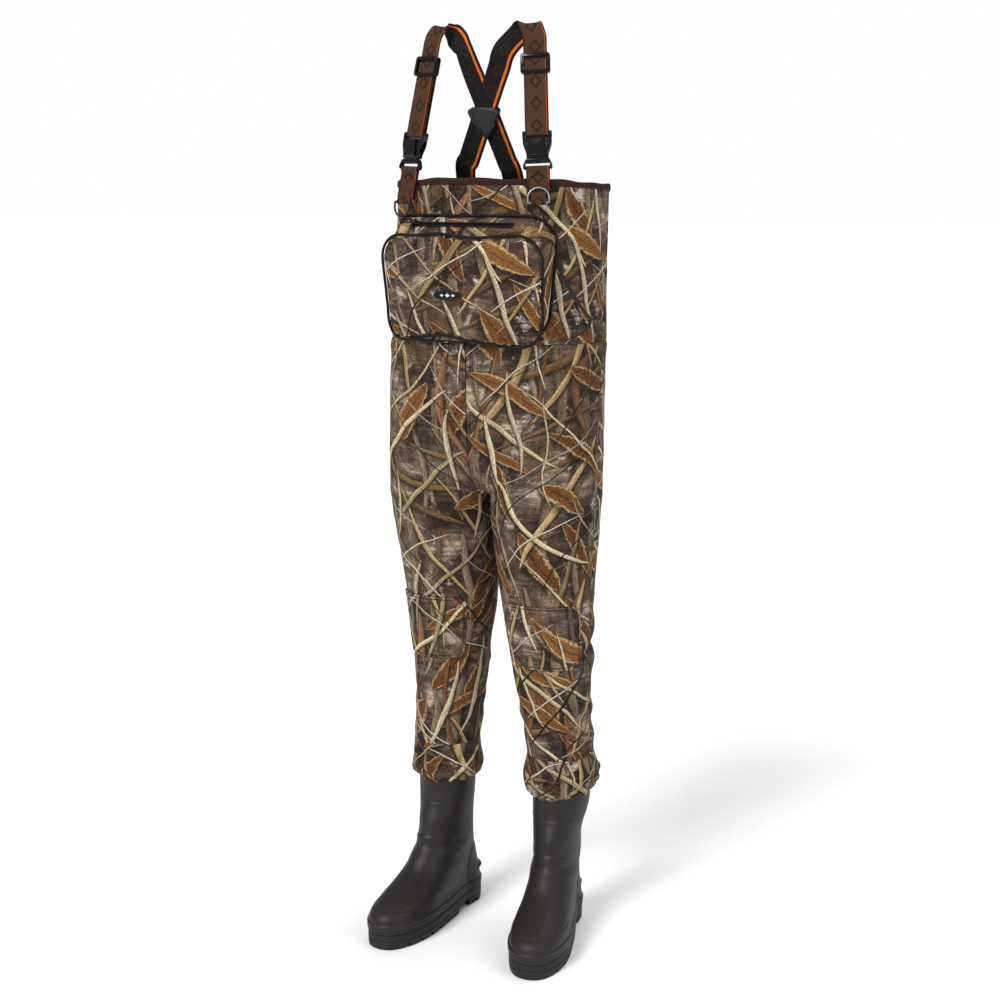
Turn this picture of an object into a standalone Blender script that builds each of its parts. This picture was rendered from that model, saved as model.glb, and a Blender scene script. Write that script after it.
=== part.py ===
"""Chest waders with bonded rubber boots, standing as they are worn.

The frame is in metres: +Z is up, the wearer faces -Y and the wearer's right is -X. The origin is on the floor
under the middle of the object. Every neoprene panel is a curved wall lofted from one body surface, so that
neighbouring panels meet face to face along their seams.
"""

import math

import bmesh
import bpy
import numpy as np
from mathutils import Matrix, Vector

# Driving dimensions.
HEM_Z = 1.401  # top edge of the bib at the front
SIDE_DROP = 0.010  # how much lower the hem is at the sides
BACK_DROP = 0.050  # and at the middle of the back
WAIST_Z = 1.122  # seam between the bib and the legs
CROTCH_Z = 0.840
LEG_END_Z = 0.350  # where the legs meet their cuffs
CUFF_END_Z = 0.275
NEOPRENE = 0.005
GAP = 0.0003  # clearance between touching pieces
BODY_ROUNDNESS = 2.35  # exponent of the body's superellipse sections
BIB_SPANS = 20  # facets across each half of the bib
LEG_SPANS = 8  # facets across each leg panel
Y_MIDDLE = -0.0582  # brings the middle of the object's depth to the origin

# Body sections. Torso: height, y of the sides, half width, depth to the front, depth to the back.
TORSO = [
    (0.700, -0.018, 0.1960, 0.125, 0.110),
    (0.859, -0.020, 0.1990, 0.124, 0.116),
    (1.007, -0.012, 0.2000, 0.136, 0.116),
    (1.107, 0.000, 0.1985, 0.148, 0.100),
    (1.277, 0.020, 0.1955, 0.162, 0.058),
    (1.401, 0.034, 0.1935, 0.168, 0.028),
]
# Left leg: height, middle x, middle y, half width, half depth.
LEG = [
    (0.275, 0.1190, 0.018, 0.0600, 0.0660),
    (0.350, 0.1175, 0.017, 0.0620, 0.0680),
    (0.440, 0.1085, 0.014, 0.0660, 0.0720),
    (0.540, 0.1010, 0.006, 0.0740, 0.0800),
    (0.631, 0.0970, -0.001, 0.0830, 0.0890),
    (0.740, 0.0975, -0.010, 0.0935, 0.1040),
    (0.840, 0.1000, -0.018, 0.0997, 0.1160),
    (1.150, 0.1000, -0.010, 0.0997, 0.1180),
]
# Cuff: height, half width, half depth, about the leg's own middle.
CUFF = [
    (0.275, 0.0600, 0.0680),
    (0.288, 0.0660, 0.0715),
    (0.307, 0.0685, 0.0730),
    (0.330, 0.0655, 0.0705),
    (0.350, 0.0620, 0.0680),
]
BLEND_TOP_Z = 1.000  # above this the sections are the torso's
BLEND_END_Z = 0.780  # below this they are the legs'
SEAT_TOP_Z = 0.930  # where the centre seams start to turn in to the crotch
SEAM_SHARPNESS = 6
INSEAM_REACH = 0.004  # a leg panel's edge nearer than this to the plane of symmetry keeps its thickness square to it

# Boots: height, reach forward of the shaft's middle, reach back, half width, share of shaft section.
BOOT = [
    (0.028, 0.226, 0.082, 0.0500, 0.00),
    (0.045, 0.228, 0.083, 0.0520, 0.00),
    (0.062, 0.221, 0.081, 0.0500, 0.05),
    (0.076, 0.195, 0.078, 0.0475, 0.15),
    (0.088, 0.165, 0.075, 0.0455, 0.30),
    (0.104, 0.131, 0.071, 0.0445, 0.50),
    (0.124, 0.105, 0.067, 0.0435, 0.75),
    (0.150, 0.085, 0.064, 0.0430, 1.00),
    (0.200, 0.069, 0.063, 0.0440, 1.00),
    (0.357, 0.061, 0.061, 0.0515, 1.00),
]
# Right half of a sole's outline as (share of the half width, share of the reach): + is forward.
SOLE_OUTLINE = [(0.0, 1.0), (0.50, 0.955), (0.86, 0.80), (1.0, 0.56), (0.86, 0.22), (0.68, -0.1), (0.70, -0.62), (0.42, -0.94), (0.0, -1.0)]
BOOT_X, BOOT_Y = 0.1155, 0.007  # the shaft's middle
TOE_OUT = math.radians(9)
BOOT_WALL = 0.0035
SOLE_TOP_Z = 0.028
INSOLE = 0.005
SHAFT_FLARE_Z, SHAFT_FLARED_Z = 0.190, 0.268  # between these the shaft opens out to lie inside the leg
SHAFT_TOP_Z = 0.357
SHAFT_CLEAR = 0.0018  # from the shaft to the inside of the leg

# Webbing and its hardware. Heights along a front strap are measured from the hem.
WEBBING_WIDTH = 0.040
WEBBING = 0.0022
TAB_WEBBING = 0.0018
KEEPER_WEBBING = 0.0014
KEEPER_WIDTH = 0.025
TAB_X = 0.1195  # the front tabs' middles
RUN_OFFSET = 0.0125  # from the bib to the strap's own plane, which the hem binding lifts it to
RUN_TURN = math.radians(19)  # outward turn of a front strap's face
RUN_LEAN = (0.114, 0.200)  # inward and backward lean of a front strap, per metre of height
BUCKLE_Y = 0.0028  # the buckle's mid plane behind the strap's plane
TAB_BACK_Y = 0.0060
PLUG_BAR = 0.020
PLUG_TOP = PLUG_BAR + 0.017
SOCKET_MOUTH = PLUG_TOP + 0.0005
SOCKET_TOP = SOCKET_MOUTH + 0.045
SOCKET_BAR = SOCKET_TOP - 0.004
ADJUSTER = 0.197
STRAP_END = ADJUSTER - 0.009
LOOP_TOP = ADJUSTER + 0.008
LOOP_BACK_TOP = ADJUSTER - 0.010
BUCKLE_HALF = 0.025
POST_HALF = 0.0212
RING_BAR = -0.040
RING_BAR_Y = -0.0018
RING_WIRE = 0.0018
RING_HALF = 0.0182
RING_HEIGHT = 0.0255
SHOULDER = (0.080, -0.066, 1.660)
JOINER = (-0.015, -0.030, 1.503)  # middle of the joiner, behind the shoulders
CROSSING_SLOPE = math.radians(18)  # how far the joiner and the crossed straps lean back
CROSSING = (0.0047, 0.0207)  # where the straps cross, to the left of the joiner's middle and up from it
CROSSING_ANGLES = {1: math.radians(26.5), -1: math.radians(15.5)}  # the left and right straps' angles from upright
CROSSING_STEP = 0.0018  # each strap's distance from the crossing's mid plane
BACK_FOOT = (-0.036, 0.047)  # x half way between the straps' feet, and their distance from it

# Pouch on the chest.
POUCH_HALF = 0.150
POUCH_TOP_Z, POUCH_BOTTOM_Z = 1.340, 1.130
POUCH_SAG = 0.034  # how much lower the front's top edge is
POUCH_FRONT_Y = -0.187  # of the front's top edge
POUCH_WEDGE = 0.023  # how much less deep the pouch is at its bottom
POUCH_TAPER = 0.065  # share of its width that it loses there
POUCH_BOW = 0.018  # how far the front's side edges bend back
POUCH_CORNER = 0.045
CLOTH = 0.003
POUCH_SPANS = 36
POUCH_CLEAR = 0.0014  # keeps the gusset's straight edges off the curved chest
PIPING = 0.0025
ZIP_Y, ZIP_Z = -0.160, 1.3255
ZIP_TILT = math.radians(36)
ZIP_HALF = 0.092
ZIP_CLEAR = 0.0015
ZIP_PIN = 0.0031  # height of the pull's pin above the slider's underside


def material(name, colour, roughness, metallic=0.0):
    made = bpy.data.materials.new(name)
    made.use_nodes = True
    shader = made.node_tree.nodes["Principled BSDF"]
    shader.inputs["Base Color"].default_value = (*colour, 1)
    shader.inputs["Roughness"].default_value = roughness
    shader.inputs["Metallic"].default_value = metallic
    return made


def keep(obj, mat):
    """Files a finished object in the waders' collection."""
    for owner in list(obj.users_collection):
        owner.objects.unlink(obj)
    PARTS.objects.link(obj)
    obj.data.materials.clear()
    obj.data.materials.append(mat)
    return obj


def hide(obj):
    """Files a cutter away, out of the render."""
    for owner in list(obj.users_collection):
        owner.objects.unlink(obj)
    CUTTERS.objects.link(obj)
    obj.hide_render = True
    obj.display_type = "WIRE"
    return obj


def smooth(obj):
    obj.data.shade_smooth()
    obj.data.set_sharp_from_angle(angle=math.radians(40))
    return obj


# ---------------------------------------------------------------- sections and surfaces


def between(rows, height):
    """A table's row at that height, on a smooth curve through its rows."""
    table = np.array(rows, float)
    heights, values = table[:, 0], table[:, 1:]
    slopes = np.gradient(values, heights, axis=0)
    height = float(np.clip(height, heights[0], heights[-1]))
    i = int(np.clip(np.searchsorted(heights, height) - 1, 0, len(heights) - 2))
    span = heights[i + 1] - heights[i]
    t = (height - heights[i]) / span
    start = (1 + 2 * t) * (1 - t) ** 2 * values[i] + t * (1 - t) ** 2 * span * slopes[i]
    end = t * t * (3 - 2 * t) * values[i + 1] + t * t * (t - 1) * span * slopes[i + 1]
    return start + end


def rounded(angle, half_x, half_y, roundness=BODY_ROUNDNESS):
    """A point of a superellipse. Angle 0 is +X and -90 degrees is the front."""
    c, s = math.cos(angle), math.sin(angle)
    power = 2 / roundness
    return math.copysign(abs(c) ** power, c) * half_x, math.copysign(abs(s) ** power, s) * half_y


def torso_point(angle, z):
    y, half_x, front, back = between(TORSO, z)
    px, py = rounded(angle, half_x, front if math.sin(angle) < 0 else back)
    return Vector((px, y + py, z))


def hem_height(angle):
    back = math.sin(angle)
    return HEM_Z - SIDE_DROP * (1 + back) - (BACK_DROP - 2 * SIDE_DROP) * max(0.0, back) ** 2


def bib_surface(angle, share):
    """The bib from the waist seam, share 0, to the hem, share 1."""
    return torso_point(angle, WAIST_Z + share * (hem_height(angle) - WAIST_Z))


def leg_point(angle, z):
    x, y, half_x, half_y = between(LEG, z)
    px, py = rounded(angle, half_x, half_y, 2)
    return Vector((x + px, y + py, z))


def ramp(t):
    t = min(1.0, max(0.0, t))
    return t * t * (3 - 2 * t)


def leg_surface(u, z):
    """The left half below the waist. u runs from the centre front, 0, round the outside to the centre back, 1.
    Below the crotch both ends meet at the inseam."""
    body = ramp((BLEND_TOP_Z - z) / (BLEND_TOP_Z - BLEND_END_Z))
    turn = min(1.0, max(0.0, (SEAT_TOP_Z - z) / (SEAT_TOP_Z - CROTCH_Z)))
    seam = 1 - math.sqrt(1 - turn * turn)
    rim = abs(2 * u - 1) ** SEAM_SHARPNESS
    share = (1 - rim) * body + rim * seam
    return torso_point(math.pi * (u - 0.5), z).lerp(leg_point(2 * math.pi * (u - 0.5), z), share)


def cuff_surface(angle, z):
    x, y = between(LEG, z)[:2]
    half_x, half_y = between(CUFF, z)
    px, py = rounded(angle, half_x, half_y, 2)
    return Vector((x + px, y + py, z))


def spline(points, closed=False):
    """A smooth curve through the points, as a function of a share from 0 to 1."""
    p = [Vector(q) for q in points]
    spans = len(p) if closed else len(p) - 1

    def at(share):
        i = min(int(share * spans), spans - 1)
        t = share * spans - i
        if closed:
            a, b, c, d = (p[(i + k) % len(p)] for k in (-1, 0, 1, 2))
        else:
            a, b, c, d = (p[min(max(i + k, 0), len(p) - 1)] for k in (-1, 0, 1, 2))
        return 0.5 * (2 * b + (c - a) * t + (2 * a - 5 * b + 4 * c - d) * t * t + (3 * b - a - 3 * c + d) * t**3)

    return at


def sole_outline():
    right = [(x, y) for x, y in SOLE_OUTLINE]
    left = [(-x, y) for x, y in reversed(SOLE_OUTLINE[1:-1])]
    return spline([(x, y, 0) for x, y in right + left], closed=True)


def boot_point(share, z, grow=0.0):
    """A point round the left boot, in its own frame: the toe points to -Y and the shaft's middle is the origin."""
    front, back, half, shaft = between(BOOT, z)
    p = OUTLINE(share % 1.0)
    foot = Vector((p.x * (half + grow), -p.y * ((front if p.y > 0 else back) + grow), z))
    angle = 2 * math.pi * (share - 0.25)
    px, py = rounded(angle, half + grow, (front if math.sin(angle) < 0 else back) + grow, 2)
    return foot.lerp(Vector((px, py, z)), shaft)


def boot_surface(share, z):
    """The boot in the object's frame, with its shaft opened out into the leg."""
    shaft = BOOT_PLACE @ boot_point(share, z)
    x, y, half_x, half_y = between(LEG, z)
    inside = NEOPRENE + SHAFT_CLEAR
    px, py = rounded(2 * math.pi * (share - 0.25) + TOE_OUT, half_x - inside, half_y - inside, 2)
    return shaft.lerp(Vector((x + px, y + py, z)), ramp((z - SHAFT_FLARE_Z) / (SHAFT_FLARED_Z - SHAFT_FLARE_Z)))


# ---------------------------------------------------------------- builders


def outward(surface, u, v, du, dv):
    """The surface's unit normal, pointing away from the body."""
    a = surface(u + du, v) - surface(u - du, v)
    b = surface(u, v + dv) - surface(u, v - dv)
    return a.cross(b).normalized()


def mesh_object(name, points, faces, mat, mirror=False):
    if mirror:
        points = [Vector((-p[0], p[1], p[2])) for p in points]
        faces = [tuple(reversed(f)) for f in faces]
    mesh = bpy.data.meshes.new(name)
    mesh.from_pydata([Vector((p[0], p[1] - Y_MIDDLE, p[2])) for p in points], [], faces)
    weld(mesh)
    obj = bpy.data.objects.new(name, mesh)
    PARTS.objects.link(obj)
    mesh.materials.append(mat)
    return smooth(obj)


def wall(name, surface, us, vs, outside, thickness, mat, mirror=False, flat_middle=False, closed=False):
    """A curved wall of even thickness: its outer face lies that far outside the surface. flat_middle keeps an
    edge on the plane of symmetry from leaning over it."""
    du, dv = (us[1] - us[0]) * 0.05, (vs[1] - vs[0]) * 0.05
    outer, inner = [], []
    for v in vs:
        for u in us:
            at = min(max(v, vs[0] + dv), vs[-1] - dv)
            normal = outward(surface, u, at, du, dv)
            p = surface(u, v)
            if flat_middle and u in (us[0], us[-1]) and p.x < INSEAM_REACH:
                normal = Vector((-1, 0, 0)) if v < CROTCH_Z else Vector((0, normal.y, normal.z)).normalized()
            for row, distance in ((outer, outside), (inner, outside - thickness)):
                q = p + normal * distance
                q.x = max(q.x, GAP / 2) if flat_middle else q.x
                row.append(q)
    n, m, faces = len(us), len(vs), []
    last = n if closed else n - 1
    size = n * m

    def quad(a, b, c, d):
        faces.append((a, b, c, d))

    for j in range(m - 1):
        for i in range(last):
            a, b = j * n + i, j * n + (i + 1) % n
            quad(a, b, b + n, a + n)
            quad(size + a, size + a + n, size + b + n, size + b)
    for i in range(last):
        a, b = i, (i + 1) % n
        quad(a, size + a, size + b, b)
        top = (m - 1) * n
        quad(top + a, top + b, size + top + b, size + top + a)
    if not closed:
        for j in range(m - 1):
            a, b = j * n, (j + 1) * n
            quad(a, b, size + b, size + a)
            a, b = a + n - 1, b + n - 1
            quad(a, size + a, size + b, b)
    return mesh_object(name, outer + inner, faces, mat, mirror)


def sweep(name, sections, mat, closed=False, mirror=False):
    """A solid through a row of like sections, capped at both ends unless it is a closed ring."""
    n, faces = len(sections[0]), []
    points = [p for s in sections for p in s]
    count = len(sections)
    for j in range(count if closed else count - 1):
        k = (j + 1) % count
        for i in range(n):
            a, b = j * n + i, j * n + (i + 1) % n
            faces.append((a, b, k * n + (i + 1) % n, k * n + i))
    if not closed:
        faces.append(tuple(reversed(range(n))))
        faces.append(tuple((count - 1) * n + i for i in range(n)))
    return mesh_object(name, points, faces, mat, mirror)


def ribbon(name, stations, width, thickness, mat, closed=False):
    """Flat webbing through stations of (middle, direction across it)."""
    sections = []
    count = len(stations)
    for i, (p, across) in enumerate(stations):
        before = stations[(i - 1) % count if closed else max(i - 1, 0)][0]
        after = stations[(i + 1) % count if closed else min(i + 1, count - 1)][0]
        along = (after - before).normalized()
        across = (across - along * across.dot(along)).normalized()
        up = along.cross(across) * (thickness / 2)
        side = across * (width / 2)
        sections.append([p - side - up, p - side + up, p + side + up, p + side - up])
    return sweep(name, sections, mat, closed)


def steps(start, end, count):
    """count + 1 evenly spaced values."""
    return [start + (end - start) * i / count for i in range(count + 1)]


def run_frame(side):
    """The frame of a front strap: X across it, -Y out of its face, Z up along it, origin at the hem."""
    half_x = between(TORSO, HEM_Z)[1]
    angle = -math.acos((TAB_X / half_x) ** (BODY_ROUNDNESS / 2))
    start = torso_point(angle, HEM_Z)
    face = Vector((math.sin(RUN_TURN), -math.cos(RUN_TURN), 0))
    z = Vector((-RUN_LEAN[0], RUN_LEAN[1], 1)).normalized()
    y = (z * face.dot(z) - face).normalized()
    x = y.cross(z)
    start = start + face * RUN_OFFSET
    if side < 0:
        start.x, x, y, z = -start.x, Vector((x.x, -x.y, -x.z)), Vector((-y.x, y.y, y.z)), Vector((-z.x, z.y, z.z))
    frame = Matrix((x, y, z)).transposed().to_4x4()
    frame.translation = start
    return frame


def place(obj, frame):
    obj.matrix_world = Matrix.Translation((0, -Y_MIDDLE, 0)) @ frame
    return obj


def block(name, low, high):
    """A box between two corners, as a mesh about its object's origin."""
    bpy.ops.mesh.primitive_cube_add(size=1)
    obj = bpy.context.object
    obj.name = obj.data.name = name
    size = Vector(high) - Vector(low)
    middle = (Vector(high) + Vector(low)) / 2
    obj.data.transform(Matrix.Translation(middle) @ Matrix.Diagonal((*size, 1)))
    return obj


def outline_plate(name, points, low, high):
    """A flat XZ outline, thick from y = low to y = high, as a mesh."""
    curve = bpy.data.curves.new(name, "CURVE")
    curve.dimensions = "2D"
    curve.fill_mode = "BOTH"
    curve.extrude = (high - low) / 2
    line = curve.splines.new("POLY")
    line.points.add(len(points) - 1)
    for point, (x, z) in zip(line.points, points):
        point.co = (x, z, 0, 1)
    line.use_cyclic_u = True
    flat = bpy.data.objects.new(name, curve)
    bpy.context.scene.collection.objects.link(flat)
    bpy.context.view_layer.update()
    mesh = bpy.data.meshes.new_from_object(flat.evaluated_get(bpy.context.evaluated_depsgraph_get()))
    bpy.data.objects.remove(flat)
    obj = bpy.data.objects.new(name, mesh)
    bpy.context.scene.collection.objects.link(obj)
    weld(mesh)
    stand = Matrix.Rotation(math.radians(90), 4, "X")
    mesh.transform(Matrix.Translation((0, (low + high) / 2, 0)) @ stand)
    return obj


def weld(mesh):
    """Merges doubled points and turns every face outward."""
    edit = bmesh.new()
    edit.from_mesh(mesh)
    bmesh.ops.remove_doubles(edit, verts=edit.verts, dist=0.00001)
    bmesh.ops.recalc_face_normals(edit, faces=edit.faces)
    edit.to_mesh(mesh)
    edit.free()


def combine(obj, other, operation):
    """Cuts or joins another mesh, which stays as a hidden cutter placed like obj."""
    modifier = obj.modifiers.new(other.name, "BOOLEAN")
    modifier.operation = operation
    modifier.object = hide(other)
    other.matrix_world = obj.matrix_world
    return obj


# ---------------------------------------------------------------- neoprene


def build_bib():
    shares = steps(0.0012, 1, 6)
    wall("bib_front_panel", bib_surface, FRONT_ANGLES, shares, 0, NEOPRENE, CAMO)
    wall("bib_back_panel", bib_surface, [a + math.pi for a in FRONT_ANGLES], shares, 0, NEOPRENE, CAMO)
    build_binding()


def build_binding():
    """Tape folded over the top edge, as an upside-down U in section."""
    tape, depth, lip, clear = 0.0014, 0.012, 0.0024, 0.0010
    sections = []
    count = 2 * BIB_SPANS
    for i in range(count):
        angle = -2 * math.pi * i / count
        top = hem_height(angle)
        out = outward(torso_point, angle, top, 0.01, 0.01)
        out.z = 0
        out.normalize()
        edge, low = torso_point(angle, top), torso_point(angle, top - depth)
        outer, inner = GAP, -NEOPRENE - GAP
        sections.append(
            [
                low + out * (outer + tape),
                edge + out * (outer + tape) + Vector((0, 0, lip)),
                edge + out * (inner - tape) + Vector((0, 0, lip)),
                low + out * (inner - tape),
                low + out * inner,
                edge + out * inner + Vector((0, 0, clear)),
                edge + out * outer + Vector((0, 0, clear)),
                low + out * outer,
            ]
        )
    sweep("hem_binding", sections, BROWN, closed=True)


def build_legs():
    top = WAIST_Z - GAP
    heights = [LEG_END_Z + GAP, 0.40, 0.455, *KNEE_HEIGHTS, 0.71, 0.77, 0.81, CROTCH_Z - 0.0006]
    seat = [0.8415, 0.853, 0.875, 0.910, 0.960, 1.03, top]
    for side, name in ((1, "left"), (-1, "right")):
        for part, us in (("front", LEG_SHARES), ("back", [u + 0.5 for u in LEG_SHARES])):
            wall(f"{name}_leg_{part}_panel", leg_surface, us, heights + seat, 0, NEOPRENE, CAMO,
                 mirror=side < 0, flat_middle=True)
        around = steps(-math.pi, math.pi, 20)[:-1]
        cuff = [LEG_END_Z - GAP, 0.330, 0.307, 0.290, CUFF_END_Z]
        wall(f"{name}_cuff", cuff_surface, around, cuff[::-1], 0, NEOPRENE, CAMO, mirror=side < 0, closed=True)
        build_knee_patch(side, name)


def build_knee_patch(side, name):
    """A reinforcing patch sewn over the front of the knee."""
    wall(f"{name}_knee_patch", leg_surface, LEG_SHARES[KNEE_FROM:KNEE_TO], KNEE_HEIGHTS, GAP + 0.002, 0.002, CAMO,
         mirror=side < 0)


# ---------------------------------------------------------------- boots


def build_boots():
    heights = [SOLE_TOP_Z + 0.0010, 0.045, 0.060, 0.071, 0.083, 0.098, 0.120, 0.150, SHAFT_FLARE_Z, 0.215, 0.240,
               SHAFT_FLARED_Z, 0.300, SHAFT_TOP_Z]
    around = steps(0, 1, 24)[:-1]
    for side, name in ((1, "left"), (-1, "right")):
        wall(f"{name}_boot_upper", boot_surface, around, heights, 0, BOOT_WALL, RUBBER,
             mirror=side < 0, closed=True)
        build_outsole(side, name)
        build_insole(side, name)


def sole_plate(name, grow, low, high, count):
    points = []
    for i in range(count):
        p = boot_point(i / count, SOLE_TOP_Z + GAP, grow)
        points.append((p.x, p.y))
    obj = outline_plate(name, points, low, high)
    lay = Matrix.Rotation(math.radians(-90), 4, "X")
    obj.data.transform(Matrix.Diagonal((1, 1, -1, 1)) @ lay)
    weld(obj.data)
    return obj


def stand_boot(obj, side):
    if side < 0:
        obj.data.transform(Matrix.Diagonal((-1, 1, 1, 1)))
        weld(obj.data)
    obj.matrix_world = Matrix.Translation((side * BOOT_X, BOOT_Y - Y_MIDDLE, 0)) @ Matrix.Rotation(side * TOE_OUT, 4, "Z")
    return obj


def build_outsole(side, name):
    """A cleated sole with a separate heel block under its arch."""
    sole = stand_boot(sole_plate(f"{name}_outsole", 0.004, 0, SOLE_TOP_Z, 30), side)
    keep(sole, RUBBER)
    arch = block(f"{name}_arch_cut", (-0.08, -0.020, -0.01), (0.08, 0.022, 0.013))
    combine(sole, arch, "DIFFERENCE")
    for i, y in enumerate((-0.190, -0.160, -0.130, -0.100, -0.070, 0.044, 0.064)):
        groove = block(f"{name}_groove_{i}", (-0.08, y - 0.0035, -0.01), (0.08, y + 0.0035, 0.007))
        combine(sole, groove, "DIFFERENCE")


def build_insole(side, name):
    low = SOLE_TOP_Z + GAP
    insole = stand_boot(sole_plate(f"{name}_insole", -BOOT_WALL - 0.0035, low, low + INSOLE, 24), side)
    keep(insole, BLACK_CLOTH)


# ---------------------------------------------------------------- pockets


def chest_offset(x, z, distance):
    """A point that far in front of the bib's facets, at that x and height."""
    columns = [torso_point(angle, z) for angle in FRONT_ANGLES]
    i = max(k for k in range(len(columns) - 1) if columns[k].x <= x)
    a, b = columns[i], columns[i + 1]
    facing = math.hypot(b.x - a.x, b.y - a.y) / (b.x - a.x)
    return Vector((x, a.y + (b.y - a.y) * (x - a.x) / (b.x - a.x) - distance * facing, z))


def build_hand_warmer():
    """A flat pocket panel across the chest with a slanted opening at each side."""
    panel = wall("hand_warmer_panel", bib_surface, FRONT_ANGLES[3:-3], steps(0.03, 0.78, 4), GAP + CLOTH, CLOTH, CAMO)
    for hand, name in ((1, "left"), (-1, "right")):
        cutter = block(f"{name}_hand_opening", (0, -0.3, -0.2), (0.2, 0.3, 0.3))
        slant = Matrix.Rotation(math.radians(-18 * hand), 4, "Y") @ Matrix.Diagonal((hand, 1, 1, 1))
        cutter.data.transform(Matrix.Translation((0.176 * hand, 0, 1.16)) @ slant)
        weld(cutter.data)
        combine(panel, cutter, "DIFFERENCE")


def pouch_outline(share, grow=0.0, sag=0.0):
    """The pouch's rounded rectangle, as x and height. It runs from the middle of the top over +X."""
    half, corner = POUCH_HALF + grow, POUCH_CORNER + grow
    low, high = POUCH_BOTTOM_Z - grow, POUCH_TOP_Z - sag + grow
    straight_x, straight_z = half - corner, (high - low) - 2 * corner
    arc = math.pi / 2 * corner
    lengths = [straight_x, arc, straight_z, arc, 2 * straight_x, arc, straight_z, arc, straight_x]
    s = (share % 1.0) * sum(lengths)
    k = 0
    while s > lengths[k] and k < 8:
        s -= lengths[k]
        k += 1
    turn = s / corner
    c, n = corner * math.cos(turn), corner * math.sin(turn)
    x0, z0, z1 = half - corner, high - corner, low + corner
    x, z = [
        (s, high), (x0 + n, z0 + c), (half, z0 - s), (x0 + c, z1 - n), (x0 - s, low),
        (-x0 - n, z1 - c), (-half, z1 + s), (-x0 - c, z0 + n), (-x0 + s, high),
    ][k]
    return x * (1 - POUCH_TAPER * descent(z)), z


def descent(z):
    """Share of the way down the pouch's front."""
    top = POUCH_TOP_Z - POUCH_SAG
    return min(1.0, max(0.0, (top - z) / (top - POUCH_BOTTOM_Z)))


def pouch_front_y(x, z):
    return POUCH_FRONT_Y + POUCH_BOW * (x / POUCH_HALF) ** 2 + POUCH_WEDGE * descent(z)


def gusset_point(share, depth, grow=0.0):
    """The pouch's side wall, from the chest, depth 0, to its front edge, depth 1."""
    x, z = pouch_outline(share, grow)
    back = chest_offset(x, z, CLOTH + GAP + POUCH_CLEAR)
    x, z = pouch_outline(share, grow, POUCH_SAG)
    return back.lerp(Vector((x, pouch_front_y(x, z), z)), depth)


def zip_bed(share, grow):
    """Half way to its front the gusset's top is straight, to carry the zip."""
    p = gusset_point(share, 0.5, grow)
    straight = Vector((p.x, ZIP_Y, ZIP_Z - ZIP_CLEAR + grow))
    top = POUCH_TOP_Z - POUCH_SAG / 2 + grow
    return p.lerp(straight, ramp(1 - (top - p.z) / 0.012))


def pouch_wall(share, depth, grow):
    """A point of the finished side wall, which bends at the zip's bed."""
    if depth < 0.5:
        return gusset_point(share, 0, grow).lerp(zip_bed(share, grow), depth / 0.5)
    return zip_bed(share, grow).lerp(gusset_point(share, 1, grow), depth / 0.5 - 1)


def build_pouch():
    sections = []
    for i in range(POUCH_SPANS):
        share = i / POUCH_SPANS
        sections.append([
            gusset_point(share, 0, -CLOTH),
            gusset_point(share, 0),
            zip_bed(share, 0),
            gusset_point(share, 0.985),
            gusset_point(share, 0.985, -CLOTH),
            zip_bed(share, -CLOTH),
        ])
    sweep("pouch_gusset", sections, CAMO, closed=True)
    build_pouch_front()
    for name, depth in (("pouch_front_piping", 1.0), ("pouch_back_piping", 0.10)):
        build_piping(name, depth)
    build_zip()
    build_badge()


def front_surface(u, v):
    """The pouch's front, crowned between its edges: u and v run from -1 to 1 over a squared circle."""
    x = u * math.sqrt(1 - 0.42 * v * v) * (POUCH_HALF - 0.0035)
    middle, half = (POUCH_TOP_Z - POUCH_SAG + POUCH_BOTTOM_Z) / 2, (POUCH_TOP_Z - POUCH_SAG - POUCH_BOTTOM_Z) / 2
    z = middle + v * math.sqrt(1 - 0.42 * u * u) * (half - 0.0035)
    x *= 1 - POUCH_TAPER * descent(z)
    crown = 0.014 * (1 - u * u) * (1 - v * v)
    return Vector((x, pouch_front_y(x, z) - 0.0036 - crown, z))


def build_pouch_front():
    wall("pouch_front_panel", front_surface, steps(-1, 1, 12), steps(-1, 1, 8), 0, CLOTH, CAMO)


def build_piping(name, depth):
    sections = []
    for i in range(POUCH_SPANS):
        share = i / POUCH_SPANS
        middle = pouch_wall(share, depth, PIPING * 1.35 + GAP)
        out = gusset_point(share, depth, 0.02) - gusset_point(share, depth)
        out = Vector((out.x, 0, out.z)).normalized() * PIPING
        deep = Vector((0, PIPING, 0))
        sections.append([middle + out * math.cos(t) + deep * math.sin(t) for t in steps(0, 2 * math.pi, 6)[:-1]])
    sweep(name, sections, BLACK_CLOTH, closed=True)


def build_zip():
    """A straight zip along the pouch's top: tape, coil, slider and its pull. X runs along it and Z out of it."""
    frame = Matrix.Translation((0, ZIP_Y, ZIP_Z)) @ Matrix.Rotation(ZIP_TILT, 4, "X")
    tape = block("zip_tape", (-ZIP_HALF - 0.004, -0.006, 0), (ZIP_HALF + 0.004, 0.006, 0.0010))
    coil = block("zip_coil", (-ZIP_HALF, -0.0020, 0.0013), (ZIP_HALF, 0.0020, 0.0029))
    keep(place(tape, frame), BLACK_CLOTH)
    keep(place(coil, frame), BLACK_PLASTIC)
    frame = frame @ Matrix.Translation((0.007 - ZIP_HALF, 0, 0.0033))
    slider = block("zip_slider", (-0.0065, -0.0042, 0), (0.0065, 0.0042, 0.0018))
    keep(place(slider, frame), STEEL)
    combine(slider, block("zip_slider_bridge", (-0.0040, -0.0010, 0.0010), (0.0040, 0.0010, 0.0056)), "UNION")
    combine(slider, block("zip_slider_eye", (-0.0022, -0.0030, 0.0018), (0.0022, 0.0030, 0.0044)), "DIFFERENCE")
    build_zip_pull(frame @ Matrix.Translation((0, 0, ZIP_PIN)))


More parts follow.
